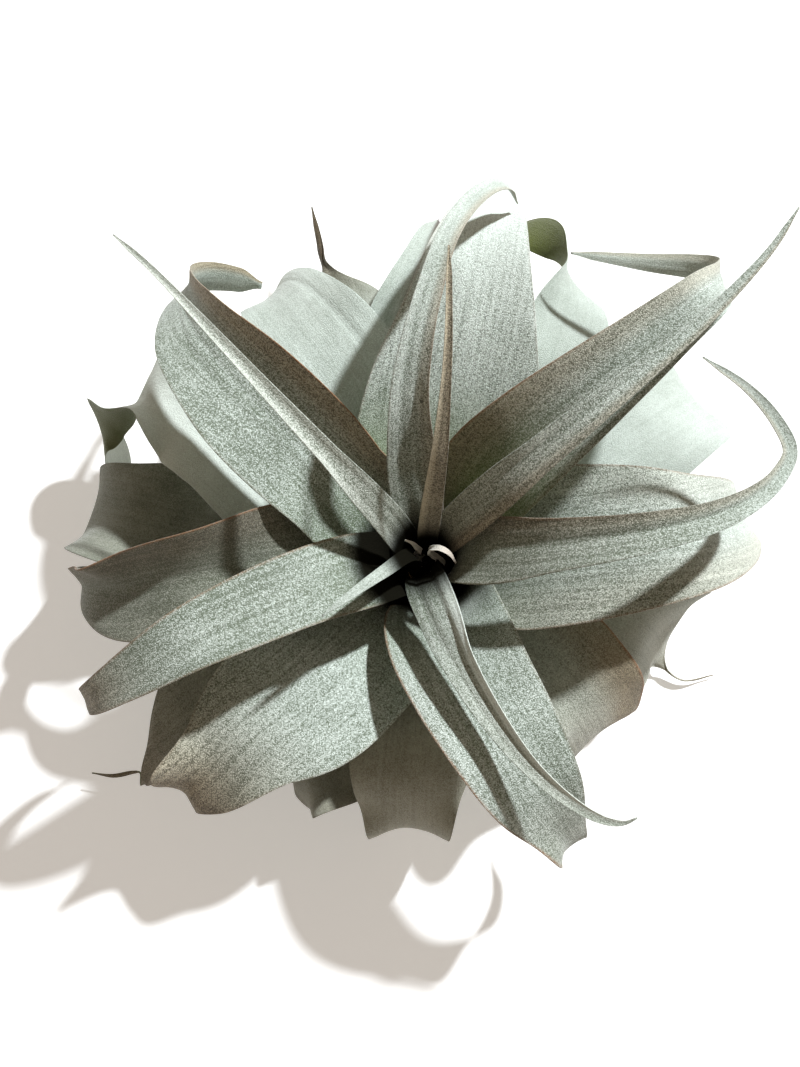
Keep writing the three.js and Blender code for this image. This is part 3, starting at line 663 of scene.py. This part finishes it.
def leaf_look(name, t, v, inset, place):
    """The finish, painted shade included, of one place on a leaf inset millimetres in from the
    margin.
    """
    look = LOOKS[name]
    # Towards each margin felt and brown grow: partly the leaf's own colour, partly painted light
    # on a wall turned to the lamp and painted shade on one turned away.
    half = 1 if v < 0 else 0
    outward = smooth_step(*OUTWARD, abs(v))
    brown = along(look["brown"], t) + look.get("side_brown_and_painted_shade", (0, 0))[half] * outward
    # Painted shade in the heart's funnel, which reaches further over the feet of some leaves.
    reach = math.hypot(place.x, place.y) + FUNNEL_SHADE_SLOPE * (place.z - FUNNEL_SHADE_HEIGHT)
    reach -= look.get("shade_widening", 0)
    rim = FUNNEL_SHADE_RIM + look.get("soft", 0)
    line_end = look.get("line_end", LINE_END)
    line = look.get("line", (0, 0))[half] * smooth_step(line_end, line_end - LINE_FADE, t)
    return {
        "felt": along(look["felt"], t) + look.get("side_felt_and_painted_light", (0, 0))[half] * outward,
        "grain": along(look["grain"], t),
        "brown": min(max(brown, 0), 1),
        "green": look.get("green", USUAL_GREEN) * smooth_step(*GREEN_END, t),
        "line": line * smooth_step(LINE_BREADTH, 0, inset),
        "olive": look.get("olive", 0) * smooth_step(*UNDERSIDE_SHADE_START, t),
        "deep": look.get("deep", 1) * smooth_step(rim, FUNNEL_SHADE_PIT, reach),
    }


def build_blade(leaf, rank, sizes):
    """A closed leaf blade: a fine sheet laid along the midrib, then given its thickness."""
    frames, length = leaf_frames(leaf, rank)
    rows = max(FEWEST_ROWS, round(length / sizes.row_step * MM))
    half_columns = round(max(leaf["widths"]) / sizes.column_step * MM / 2)
    mesh = bmesh.new()
    bmesh.ops.create_grid(
        mesh, x_segments=rows, y_segments=2 * max(FEWEST_HALF_COLUMNS, half_columns), size=1,
    )
    layers = {name: mesh.verts.layers.float.new(name) for name in FINISH}
    lift = mesh.verts.layers.float_vector.new("lift")
    uv = mesh.loops.layers.uv.new("blade")
    mesh.verts.index_update()
    spots = {}
    shapes = [blade_row(frames, length, leaf, rank, i / rows) for i in range(rows + 1)]
    for vert in mesh.verts:
        row = round((vert.co.x + 1) / 2 * rows)
        v = vert.co.y * (1 + MARGIN_CROWDING * (1 - vert.co.y ** 2))
        spots[vert.index] = (row / rows, v, shapes[row][3])
        vert.co = blade_point(shapes[row], leaf, row / rows, v)
    mesh.normal_update()
    for vert in mesh.verts:
        t, v, width = spots[vert.index]
        stout = min(width / STOUT_WIDTH, 1) * (1 - t) * (1 - v * v)
        stout *= smooth_step(0, STOUT_START, t)
        inset = (1 - abs(v)) * width / 2
        thin = EDGE_SHARE + (1 - EDGE_SHARE) * smooth_step(0, EDGE_RUN, inset)
        margin = sizes.margin_thickness / MM
        thickness = (margin + (sizes.midrib_thickness / MM - margin) * stout) * thin
        vert[lift] = vert.normal * thickness / 2
        for name, value in leaf_look(leaf["name"], t, v, inset, vert.co).items():
            vert[layers[name]] = value
        for loop in vert.link_loops:
            loop[uv].uv = (t * length * MM, v * width / 2 * MM)
    made = bmesh.ops.extrude_face_region(mesh, geom=list(mesh.faces), use_keep_orig=True)
    copies = {item for item in made["geom"] if isinstance(item, bmesh.types.BMVert)}
    # Only one of the two sheets keeps the dark olive of a curled tip's underside, which is partly
    # painted shade.
    for vert in mesh.verts:
        vert.co += vert[lift] if vert in copies else -vert[lift]
        if vert in copies:
            vert[layers["olive"]] = 0
    mesh.verts.layers.float_vector.remove(lift)
    bmesh.ops.recalc_face_normals(mesh, faces=mesh.faces)
    for face in mesh.faces:
        face.smooth = True
    bmesh.ops.scale(mesh, vec=(MM, MM, MM), verts=mesh.verts)
    return mesh


def finish_piece(mesh, name, node, material):
    """Makes the object with its material, hangs it on the root body and hides the part it stands
    for.
    """
    data = bpy.data.meshes.new(name)
    mesh.to_mesh(data)
    mesh.free()
    data.materials.append(material)
    piece = bpy.data.objects.new(name, data)
    bpy.context.scene.collection.objects.link(piece)
    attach(piece, "root")
    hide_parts(node)
    return piece


# Finishes

def add_node(tree, kind, sockets=None, **settings):
    """Adds one node with its settings, and fills or links its sockets."""
    node = tree.nodes.new(kind)
    for name, value in settings.items():
        setattr(node, name, value)
    for key, value in (sockets or {}).items():
        if isinstance(value, bpy.types.NodeSocket):
            tree.links.new(value, node.inputs[key])
        else:
            node.inputs[key].default_value = value
    return node


def new_material(name):
    material = bpy.data.materials.new(name)
    material.use_nodes = True
    material.node_tree.nodes.clear()
    return material, material.node_tree


def leaf_material(name, colours, scale_size):
    """Living leaf skin under a felt of pale shield scales.

    The felt gives a dry silvery grain with a soft bright rim. The skin under it shows
    green at the foot, brown where the leaf dries and reddish along the margin. Painted
    shade darkens the feet in the heart and turns a curled tip's underside dark olive.
    """
    material, tree = new_material(name)
    place = add_node(tree, "ShaderNodeTexCoord").outputs["Object"]
    uv = add_node(tree, "ShaderNodeUVMap", uv_map="blade").outputs["UV"]
    finish = {
        key: add_node(tree, "ShaderNodeAttribute", attribute_name=key).outputs["Fac"]
        for key in FINISH
    }

    # Shield scales: one cell is one scale, pale in its middle, and no two are alike.
    scales = add_node(
        tree, "ShaderNodeTexVoronoi",
        {"Vector": place, "Scale": 1 / scale_size, "Randomness": 1.0},
    )
    chances = add_node(tree, "ShaderNodeSeparateColor", {"Color": scales.outputs["Color"]})
    domed = add_node(
        tree, "ShaderNodeMapRange",
        {"Value": scales.outputs["Distance"], "From Min": 0.1, "From Max": 0.75,
         "To Min": 0.6, "To Max": -0.6},
    )
    uneven = add_node(
        tree, "ShaderNodeMapRange",
        {"Value": chances.outputs[0], "To Min": -0.55, "To Max": 0.55},
    )
    scaly = add_node(
        tree, "ShaderNodeMath", {0: domed.outputs[0], 1: uneven.outputs[0]}, operation="ADD",
    )

    # Fine lengthwise veins.
    stretched = add_node(
        tree, "ShaderNodeMapping",
        {"Vector": uv, "Scale": (1 / (VEIN_LENGTH * MM), 1 / (VEIN_SPACING * MM), 1)},
    )
    veins = add_node(
        tree, "ShaderNodeTexNoise",
        {"Vector": stretched.outputs[0], "Scale": 1.0, "Detail": 3.0, "Roughness": 0.6},
    )
    veined = add_node(
        tree, "ShaderNodeMapRange",
        {"Value": veins.outputs[0], "From Min": 0.3, "From Max": 0.7, "To Min": -0.3,
         "To Max": 0.3},
    )
    mixed = add_node(
        tree, "ShaderNodeMath", {0: scaly.outputs[0], 1: veined.outputs[0]},
        operation="ADD",
    )
    grain = add_node(
        tree, "ShaderNodeMath", {0: mixed.outputs[0], 1: finish["grain"]},
        operation="MULTIPLY",
    )

    # Cloudy patches of thicker and thinner felt.
    patches = add_node(
        tree, "ShaderNodeTexNoise",
        {"Vector": place, "Scale": 1 / (PATCH_SIZE * MM), "Detail": 4.0,
         "Roughness": 0.65},
    )
    cloudy = add_node(
        tree, "ShaderNodeMapRange",
        {"Value": patches.outputs[0], "From Min": 0.3, "From Max": 0.7, "To Min": -0.1,
         "To Max": 0.1},
    )
    cover = add_node(
        tree, "ShaderNodeMath", {0: cloudy.outputs[0], 1: finish["felt"]}, operation="ADD",
    )
    felt = add_node(
        tree, "ShaderNodeMath", {0: cover.outputs[0], 1: grain.outputs[0]},
        operation="ADD", use_clamp=True,
    )

    # Each layer of colour covers a share of the one before: skin under felt, both green at
    # the foot and brown where dry, then the dark olive underside of a curled tip, partly its
    # own green and partly painted shade.
    ground = {}
    for layer, foot, dry in (("skin", "foot", "dry_skin"), ("felt", "foot_felt", "dry_felt")):
        young = add_node(
            tree, "ShaderNodeMix", {0: finish["green"], 6: colours[layer], 7: colours[foot]},
            data_type="RGBA",
        )
        ground[layer] = add_node(
            tree, "ShaderNodeMix",
            {0: finish["brown"], 6: young.outputs[2], 7: colours[dry]}, data_type="RGBA",
        ).outputs[2]
    covered = add_node(
        tree, "ShaderNodeMix", {0: felt.outputs[0], 6: ground["skin"], 7: ground["felt"]},
        data_type="RGBA",
    )
    curled = add_node(
        tree, "ShaderNodeMix",
        {0: finish["olive"], 6: covered.outputs[2], 7: colours["olive"]}, data_type="RGBA",
    )

    # The reddish line along the margin is broken by the scales.
    broken = add_node(
        tree, "ShaderNodeMapRange",
        {"Value": chances.outputs[1], "To Min": 0.4, "To Max": 1.0},
    )
    line = add_node(
        tree, "ShaderNodeMath", {0: finish["line"], 1: broken.outputs[0]},
        operation="MULTIPLY",
    )
    edged = add_node(
        tree, "ShaderNodeMix",
        {0: line.outputs[0], 6: curled.outputs[2], 7: colours["margin"]},
        data_type="RGBA",
    )

    # A few dark specks, about 1 mm across, where the felt is bruised.
    bruises = add_node(
        tree, "ShaderNodeTexVoronoi",
        {"Vector": place, "Scale": 1 / (BRUISE_SPACING * MM), "Randomness": 1.0},
    )
    lots = add_node(tree, "ShaderNodeSeparateColor", {"Color": bruises.outputs["Color"]})
    picked = add_node(
        tree, "ShaderNodeMath", {0: lots.outputs[2], 1: 0.88}, operation="GREATER_THAN",
    )
    spot = add_node(
        tree, "ShaderNodeMapRange",
        {"Value": bruises.outputs["Distance"], "From Min": 0.03, "From Max": 0.055,
         "To Min": 0.75, "To Max": 0.0},
    )
    speck = add_node(
        tree, "ShaderNodeMath", {0: picked.outputs[0], 1: spot.outputs[0]},
        operation="MULTIPLY",
    )
    specked = add_node(
        tree, "ShaderNodeMix",
        {0: speck.outputs[0], 6: edged.outputs[2], 7: colours["speck"]},
        data_type="RGBA",
    )

    # Painted shade: the feet are painted dark in the heart's funnel, and lose their shine there.
    shaded = add_node(
        tree, "ShaderNodeMix",
        {0: finish["deep"], 6: specked.outputs[2], 7: colours["deep"]}, data_type="RGBA",
    )
    gloss = add_node(
        tree, "ShaderNodeMapRange",
        {"Value": finish["deep"], "To Min": 0.35, "To Max": 0.0},
    )
    rim = add_node(
        tree, "ShaderNodeMapRange",
        {"Value": finish["deep"], "To Min": 0.25, "To Max": 0.0},
    )

    raised = add_node(
        tree, "ShaderNodeMath", {0: veins.outputs[0], 1: 2.0}, operation="MULTIPLY",
    )
    height = add_node(
        tree, "ShaderNodeMath", {0: scaly.outputs[0], 1: raised.outputs[0]},
        operation="ADD",
    )
    bump = add_node(
        tree, "ShaderNodeBump",
        {"Height": height.outputs[0], "Strength": 0.8, "Distance": 0.12 * MM},
    )
    surface = add_node(
        tree, "ShaderNodeBsdfPrincipled",
        {"Base Color": shaded.outputs[2], "Roughness": 0.72, "IOR": 1.45,
         "Specular IOR Level": gloss.outputs[0], "Sheen Weight": rim.outputs[0],
         "Sheen Roughness": 0.45, "Normal": bump.outputs[0]},
    )
    add_node(tree, "ShaderNodeOutputMaterial", {"Surface": surface.outputs[0]})
    return material


def stem_material(light, dark, deep):
    """Dry fibrous stem: dull brown with dark lengthwise fibres, no shine and a top in painted
    shade.
    """
    material, tree = new_material("dry_fibrous_stem")
    place = add_node(tree, "ShaderNodeTexCoord").outputs["Object"]

    # Fibres, 0.8 mm apart and 8 mm long.
    stretched = add_node(
        tree, "ShaderNodeMapping",
        {"Vector": place, "Scale": (1 / (0.8 * MM), 1 / (0.8 * MM), 1 / (8 * MM))},
    )
    fibres = add_node(
        tree, "ShaderNodeTexNoise",
        {"Vector": stretched.outputs[0], "Scale": 1.0, "Detail": 5.0, "Roughness": 0.7},
    )
    dry = add_node(
        tree, "ShaderNodeMix", {0: fibres.outputs[0], 6: dark, 7: light},
        data_type="RGBA",
    )

    # Painted shade: the top of the stem, in the heart, is painted as dark as the feet of the
    # leaves.
    height = add_node(tree, "ShaderNodeSeparateXYZ", {"Vector": place})
    top = add_node(
        tree, "ShaderNodeMapRange",
        {"Value": height.outputs[2], "From Min": STEM_SHADE_HEIGHTS[0] * MM,
         "From Max": STEM_SHADE_HEIGHTS[1] * MM},
    )
    colour = add_node(
        tree, "ShaderNodeMix", {0: top.outputs[0], 6: dry.outputs[2], 7: deep},
        data_type="RGBA",
    )
    bump = add_node(
        tree, "ShaderNodeBump",
        {"Height": fibres.outputs[0], "Strength": 1.0, "Distance": 0.5 * MM},
    )
    surface = add_node(
        tree, "ShaderNodeBsdfPrincipled",
        {"Base Color": colour.outputs[2], "Roughness": 0.9, "IOR": 1.5,
         "Specular IOR Level": 0.2, "Normal": bump.outputs[0]},
    )
    add_node(tree, "ShaderNodeOutputMaterial", {"Surface": surface.outputs[0]})
    return material


def floor_material(colour, glow):
    """Pale matte paper: an even ground with a tooth 2 mm wide, which glows a little."""
    material, tree = new_material("pale_matte_paper")
    place = add_node(tree, "ShaderNodeTexCoord").outputs["Object"]
    tooth = add_node(
        tree, "ShaderNodeTexNoise",
        {"Vector": place, "Scale": 1 / (2 * MM), "Detail": 2.0},
    )
    bump = add_node(
        tree, "ShaderNodeBump",
        {"Height": tooth.outputs[0], "Strength": 0.1, "Distance": 0.1 * MM},
    )
    surface = add_node(
        tree, "ShaderNodeBsdfPrincipled",
        {"Base Color": colour, "Roughness": 0.95, "Specular IOR Level": 0.1,
         "Emission Color": colour, "Emission Strength": glow, "Normal": bump.outputs[0]},
    )
    add_node(tree, "ShaderNodeOutputMaterial", {"Surface": surface.outputs[0]})
    return material


# Settings that a user may change

class AirPlantSizes(bpy.types.PropertyGroup):
    """How thick the blades are and how finely they are modelled."""

    midrib_thickness: FloatProperty(
        name="Midrib thickness", description="Thickness of a blade at its midrib",
        default=1.3 * MM, min=0.6 * MM, max=3 * MM, precision=5, subtype="DISTANCE",
        unit="LENGTH",
    )
    margin_thickness: FloatProperty(
        name="Margin thickness", description="Thickness of a blade towards its margins",
        default=0.7 * MM, min=0.3 * MM, max=2 * MM, precision=5, subtype="DISTANCE",
        unit="LENGTH",
    )
    row_step: FloatProperty(
        name="Row step", description="Distance between the rows of a blade's mesh",
        default=1.1 * MM, min=0.5 * MM, max=10 * MM, precision=5, subtype="DISTANCE",
        unit="LENGTH",
    )
    column_step: FloatProperty(
        name="Column step", description="Distance between the columns of a blade's mesh",
        default=1.0 * MM, min=0.5 * MM, max=10 * MM, precision=5, subtype="DISTANCE",
        unit="LENGTH",
    )
    scale_size: FloatProperty(
        name="Scale size", description="Breadth of one shield scale of the felt",
        default=0.3 * MM, min=0.1 * MM, max=2 * MM, precision=5, subtype="DISTANCE",
        unit="LENGTH",
    )
    stem_sides: IntProperty(
        name="Stem sides", description="Number of steps round the stem", default=72,
        min=12, max=256,
    )


def colour_property(name, description, code):
    return FloatVectorProperty(
        name=name, description=description, default=srgb(code), size=4, min=0, max=1,
        subtype="COLOR",
    )


class AirPlantColours(bpy.types.PropertyGroup):
    """Colours of the leaves, the stem and the floor, with the leaves' painted shade."""

    felt: colour_property("Felt", "The pale shield scales in the light", "#e2ebe3")
    skin: colour_property("Skin", "The leaf skin between the scales", "#66705f")
    foot: colour_property("Foot", "Green skin near the foot of a leaf", "#5d7a2c")
    foot_felt: colour_property("Foot felt", "Thin felt near the foot of a leaf", "#a3b884")
    dry_skin: colour_property("Dry skin", "Leaf skin that has dried to brown", "#4d4230")
    dry_felt: colour_property("Dry felt", "Felt over dried skin", "#c2b497")
    # Partly painted shade: this dark olive also stands for the shade inside a curled tip.
    olive: colour_property("Olive", "Green underside of a curled tip", "#565d2c")
    margin: colour_property("Margin", "The reddish line along a leaf's margin", "#8f5f38")
    speck: colour_property("Speck", "Dark bruised specks", "#2b2d24")
    # Painted shade: the dark that the feet in the heart's funnel and the stem's top are painted.
    deep: colour_property("Deep", "The feet of the leaves, deep in the heart", "#15140f")
    heart_felt: colour_property("Heart felt", "Pale felt of the heart leaves", "#f2f2e8")
    heart_skin: colour_property("Heart skin", "Pinkish skin of the heart leaves", "#b9917f")
    fibre: colour_property("Fibre", "The dry stem", "#9a7f5c")
    dark_fibre: colour_property("Dark fibre", "Between the fibres of the stem", "#3b2a1c")
    floor: colour_property("Floor", "The plain pale floor", "#f4f3f1")


class AirPlantStage(bpy.types.PropertyGroup):
    """The studio's floor and lights."""

    floor_size: FloatProperty(
        name="Floor size", description="Length of the floor's sides", default=6.0,
        min=1.0, max=20.0, subtype="DISTANCE", unit="LENGTH",
    )
    key_power: FloatProperty(
        name="Key power", description="Power of the main light", default=54.0,
        min=0.0, max=1000.0, subtype="POWER", unit="POWER",
    )
    key_colour: colour_property("Key colour", "Colour of the main light", "#f5faff")
    key_direction: FloatProperty(
        name="Key direction", description="Direction that the main light comes from",
        default=math.radians(47), subtype="ANGLE", unit="ROTATION",
    )
    key_height: FloatProperty(
        name="Key height", description="Angle of the main light above the floor",
        default=math.radians(49), subtype="ANGLE", unit="ROTATION",
    )
    sky_strength: FloatProperty(
        name="Surround", description="Strength of the soft light from all round",
        default=0.3, min=0.0, max=5.0,
    )
    sky_colour: colour_property(
        "Surround colour", "Colour of the soft light from all round", "#fbe6cf",
    )
    floor_glow: FloatProperty(
        name="Floor glow", description="Light that the floor gives off, to soften shadows",
        default=0.35, min=0.0, max=2.0,
    )


class AirPlantSettings(bpy.types.PropertyGroup):
    """All the settings of the air plant."""

    sizes: PointerProperty(type=AirPlantSizes)
    colours: PointerProperty(type=AirPlantColours)
    stage: PointerProperty(type=AirPlantStage)


# Pieces

def make_leaves(context, kind, **own_colours):
    """Makes every leaf of a kind. Its own colours take the place of the usual ones."""
    settings = context.scene.air_plant
    names = ("felt", "skin", "foot", "foot_felt", "dry_skin", "dry_felt", "olive", "margin",
             "speck", "deep")
    colours = {
        name: tuple(getattr(settings.colours, own_colours.get(name, name)))
        for name in names
    }
    material = leaf_material("felted_leaf_" + kind, colours, settings.sizes.scale_size)
    for rank, leaf in enumerate(LEAVES):
        if leaf["name"].startswith(kind):
            mesh = build_blade(leaf, rank, settings.sizes)
            finish_piece(mesh, leaf["name"] + "_blade", leaf["name"],
                         material)


class AIRPLANT_OT_outer_leaves(bpy.types.Operator):
    """Make the eight lowest leaves, broad and curled down at their tips"""

    bl_idname = "air_plant.outer_leaves"
    bl_label = "Outer leaves"

    def execute(self, context):
        make_leaves(context, "outer")
        return {"FINISHED"}


class AIRPLANT_OT_middle_leaves(bpy.types.Operator):
    """Make the ten broad leaves above the outer ones"""

    bl_idname = "air_plant.middle_leaves"
    bl_label = "Middle leaves"

    def execute(self, context):
        make_leaves(context, "middle")
        return {"FINISHED"}


class AIRPLANT_OT_inner_leaves(bpy.types.Operator):
    """Make the nine steeper, narrower leaves with long tips"""

    bl_idname = "air_plant.inner_leaves"
    bl_label = "Inner leaves"

    def execute(self, context):
        make_leaves(context, "inner")
        return {"FINISHED"}


class AIRPLANT_OT_heart_leaves(bpy.types.Operator):
    """Make the two small pale leaves in the heart of the rosette"""

    bl_idname = "air_plant.heart_leaves"
    bl_label = "Heart leaves"

    def execute(self, context):
        make_leaves(context, "heart", felt="heart_felt", skin="heart_skin")
        return {"FINISHED"}


class AIRPLANT_OT_stem(bpy.types.Operator):
    """Make the short dry stem that the leaves grow from, flat below"""

    bl_idname = "air_plant.stem"
    bl_label = "Stem"

    def execute(self, context):
        settings = context.scene.air_plant
        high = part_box("stem")[1] / MM
        foot, start, end = high.x, STUB[-1][1], high.z - STEM_POINT

        # The flat foot with its rounded rim, the stub and then the stem up to its top.
        profile = [(0, 0), (foot - 0.5, 0), (foot, 0.4), (foot, 1.3), (foot - 0.9, 2.4)]
        profile += STUB
        for i in range(1, STEM_STEPS + 1):
            height = start + (end - start) * i / STEM_STEPS
            rank = (height - LOWEST_FOOT) / FOOT_STEP
            radius = max(foot_radius(rank) - STEM_CLEARANCE, THINNEST_STEM)
            profile.append((radius, height))
        profile.append((0, high.z))

        mesh = bmesh.new()
        ring = [mesh.verts.new((x * MM, 0, z * MM)) for x, z in profile]
        lines = [mesh.edges.new(pair) for pair in zip(ring, ring[1:])]
        bmesh.ops.spin(
            mesh, geom=ring + lines, cent=(0, 0, 0), axis=(0, 0, 1),
            angle=2 * math.pi, steps=settings.sizes.stem_sides, use_merge=True,
        )
        bmesh.ops.remove_doubles(mesh, verts=mesh.verts, dist=1e-6)
        bmesh.ops.recalc_face_normals(mesh, faces=mesh.faces)
        for vert in mesh.verts:
            reach = math.hypot(vert.co.x, vert.co.y)
            if reach > 1 * MM and 0 < vert.co.z < end * MM:
                spot = vert.co * Vector(HOLLOWS)
                inward = HOLLOW_DEPTH * MM * abs(noise.noise(spot))
                vert.co.x *= 1 - inward / reach
                vert.co.y *= 1 - inward / reach
        for face in mesh.faces:
            face.smooth = True
        colours = settings.colours
        material = stem_material(
            tuple(colours.fibre), tuple(colours.dark_fibre), tuple(colours.deep),
        )
        finish_piece(mesh, "stem_stub", "stem", material)
        return {"FINISHED"}


class AIRPLANT_OT_stage(bpy.types.Operator):
    """Make the floor, the lights and the camera"""

    bl_idname = "air_plant.stage"
    bl_label = "Stage"

    def execute(self, context):
        scene = context.scene
        settings = scene.air_plant
        mesh = bmesh.new()
        bmesh.ops.create_grid(mesh, x_segments=1, y_segments=1,
                              size=settings.stage.floor_size / 2)
        data = bpy.data.meshes.new("floor")
        mesh.to_mesh(data)
        mesh.free()
        data.materials.append(
            floor_material(tuple(settings.colours.floor), settings.stage.floor_glow))
        floor = bpy.data.objects.new("floor", data)
        scene.collection.objects.link(floor)

        turn, height = settings.stage.key_direction, settings.stage.key_height
        toward = Vector((
            math.cos(height) * math.cos(turn), math.cos(height) * math.sin(turn),
            math.sin(height),
        ))
        lamp = bpy.data.lights.new("key", "AREA")
        lamp.shape = "DISK"
        lamp.size = LAMP_SIZE
        lamp.energy = settings.stage.key_power
        lamp.color = settings.stage.key_colour[:3]
        key = bpy.data.objects.new("key", lamp)
        key.location = Vector(LAMP_TARGET) + toward * LAMP_DISTANCE
        key.rotation_euler = (-toward).to_track_quat("-Z", "Y").to_euler()
        scene.collection.objects.link(key)

        world = bpy.data.worlds.new("studio")
        world.use_nodes = True
        tree = world.node_tree
        tree.nodes.clear()
        soft = add_node(
            tree, "ShaderNodeBackground",
            {"Color": tuple(settings.stage.sky_colour),
             "Strength": settings.stage.sky_strength},
        )
        add_node(tree, "ShaderNodeOutputWorld", {"Surface": soft.outputs[0]})
        scene.world = world

        lens = bpy.data.cameras.new("camera")
        lens.lens = LENS
        lens.sensor_width = SENSOR_WIDTH
        lens.clip_start, lens.clip_end = 0.01, 20
        camera = bpy.data.objects.new("camera", lens)
        tilt = math.radians(CAMERA_TILT)
        back = Vector((0, -math.sin(tilt), math.cos(tilt)))
        camera.location = Vector(CAMERA_TARGET) + CAMERA_DISTANCE * back
        camera.rotation_euler = (tilt, 0, 0)
        scene.collection.objects.link(camera)
        scene.camera = camera
        scene.view_settings.view_transform = "Standard"
        return {"FINISHED"}


class AIRPLANT_PT_panel(bpy.types.Panel):
    """Buttons for the pieces and the stage, with their settings"""

    bl_idname = "AIRPLANT_PT_panel"
    bl_label = "Air plant"
    bl_space_type = "VIEW_3D"
    bl_region_type = "UI"
    bl_category = "Air plant"

    def draw(self, context):
        layout = self.layout
        settings = context.scene.air_plant
        for group in (settings.sizes, settings.colours, settings.stage):
            box = layout.box()
            for name in group.__annotations__:
                box.prop(group, name)
        for name in STEPS:
            layout.operator("air_plant." + name)


STEPS = ("stem", "outer_leaves", "middle_leaves", "inner_leaves", "heart_leaves", "stage")

CLASSES = (
    AirPlantSizes,
    AirPlantColours,
    AirPlantStage,
    AirPlantSettings,
    AIRPLANT_OT_outer_leaves,
    AIRPLANT_OT_middle_leaves,
    AIRPLANT_OT_inner_leaves,
    AIRPLANT_OT_heart_leaves,
    AIRPLANT_OT_stem,
    AIRPLANT_OT_stage,
    AIRPLANT_PT_panel,
)


def register():
    for cls in CLASSES:
        bpy.utils.register_class(cls)
    bpy.types.Scene.air_plant = PointerProperty(type=AirPlantSettings)


def unregister():
    del bpy.types.Scene.air_plant
    for cls in reversed(CLASSES):
        bpy.utils.unregister_class(cls)


def main():
    register()
    for name in STEPS:
        getattr(bpy.ops.air_plant, name)()
    bpy.context.view_layer.update()


if __name__ == "__main__":
    main()
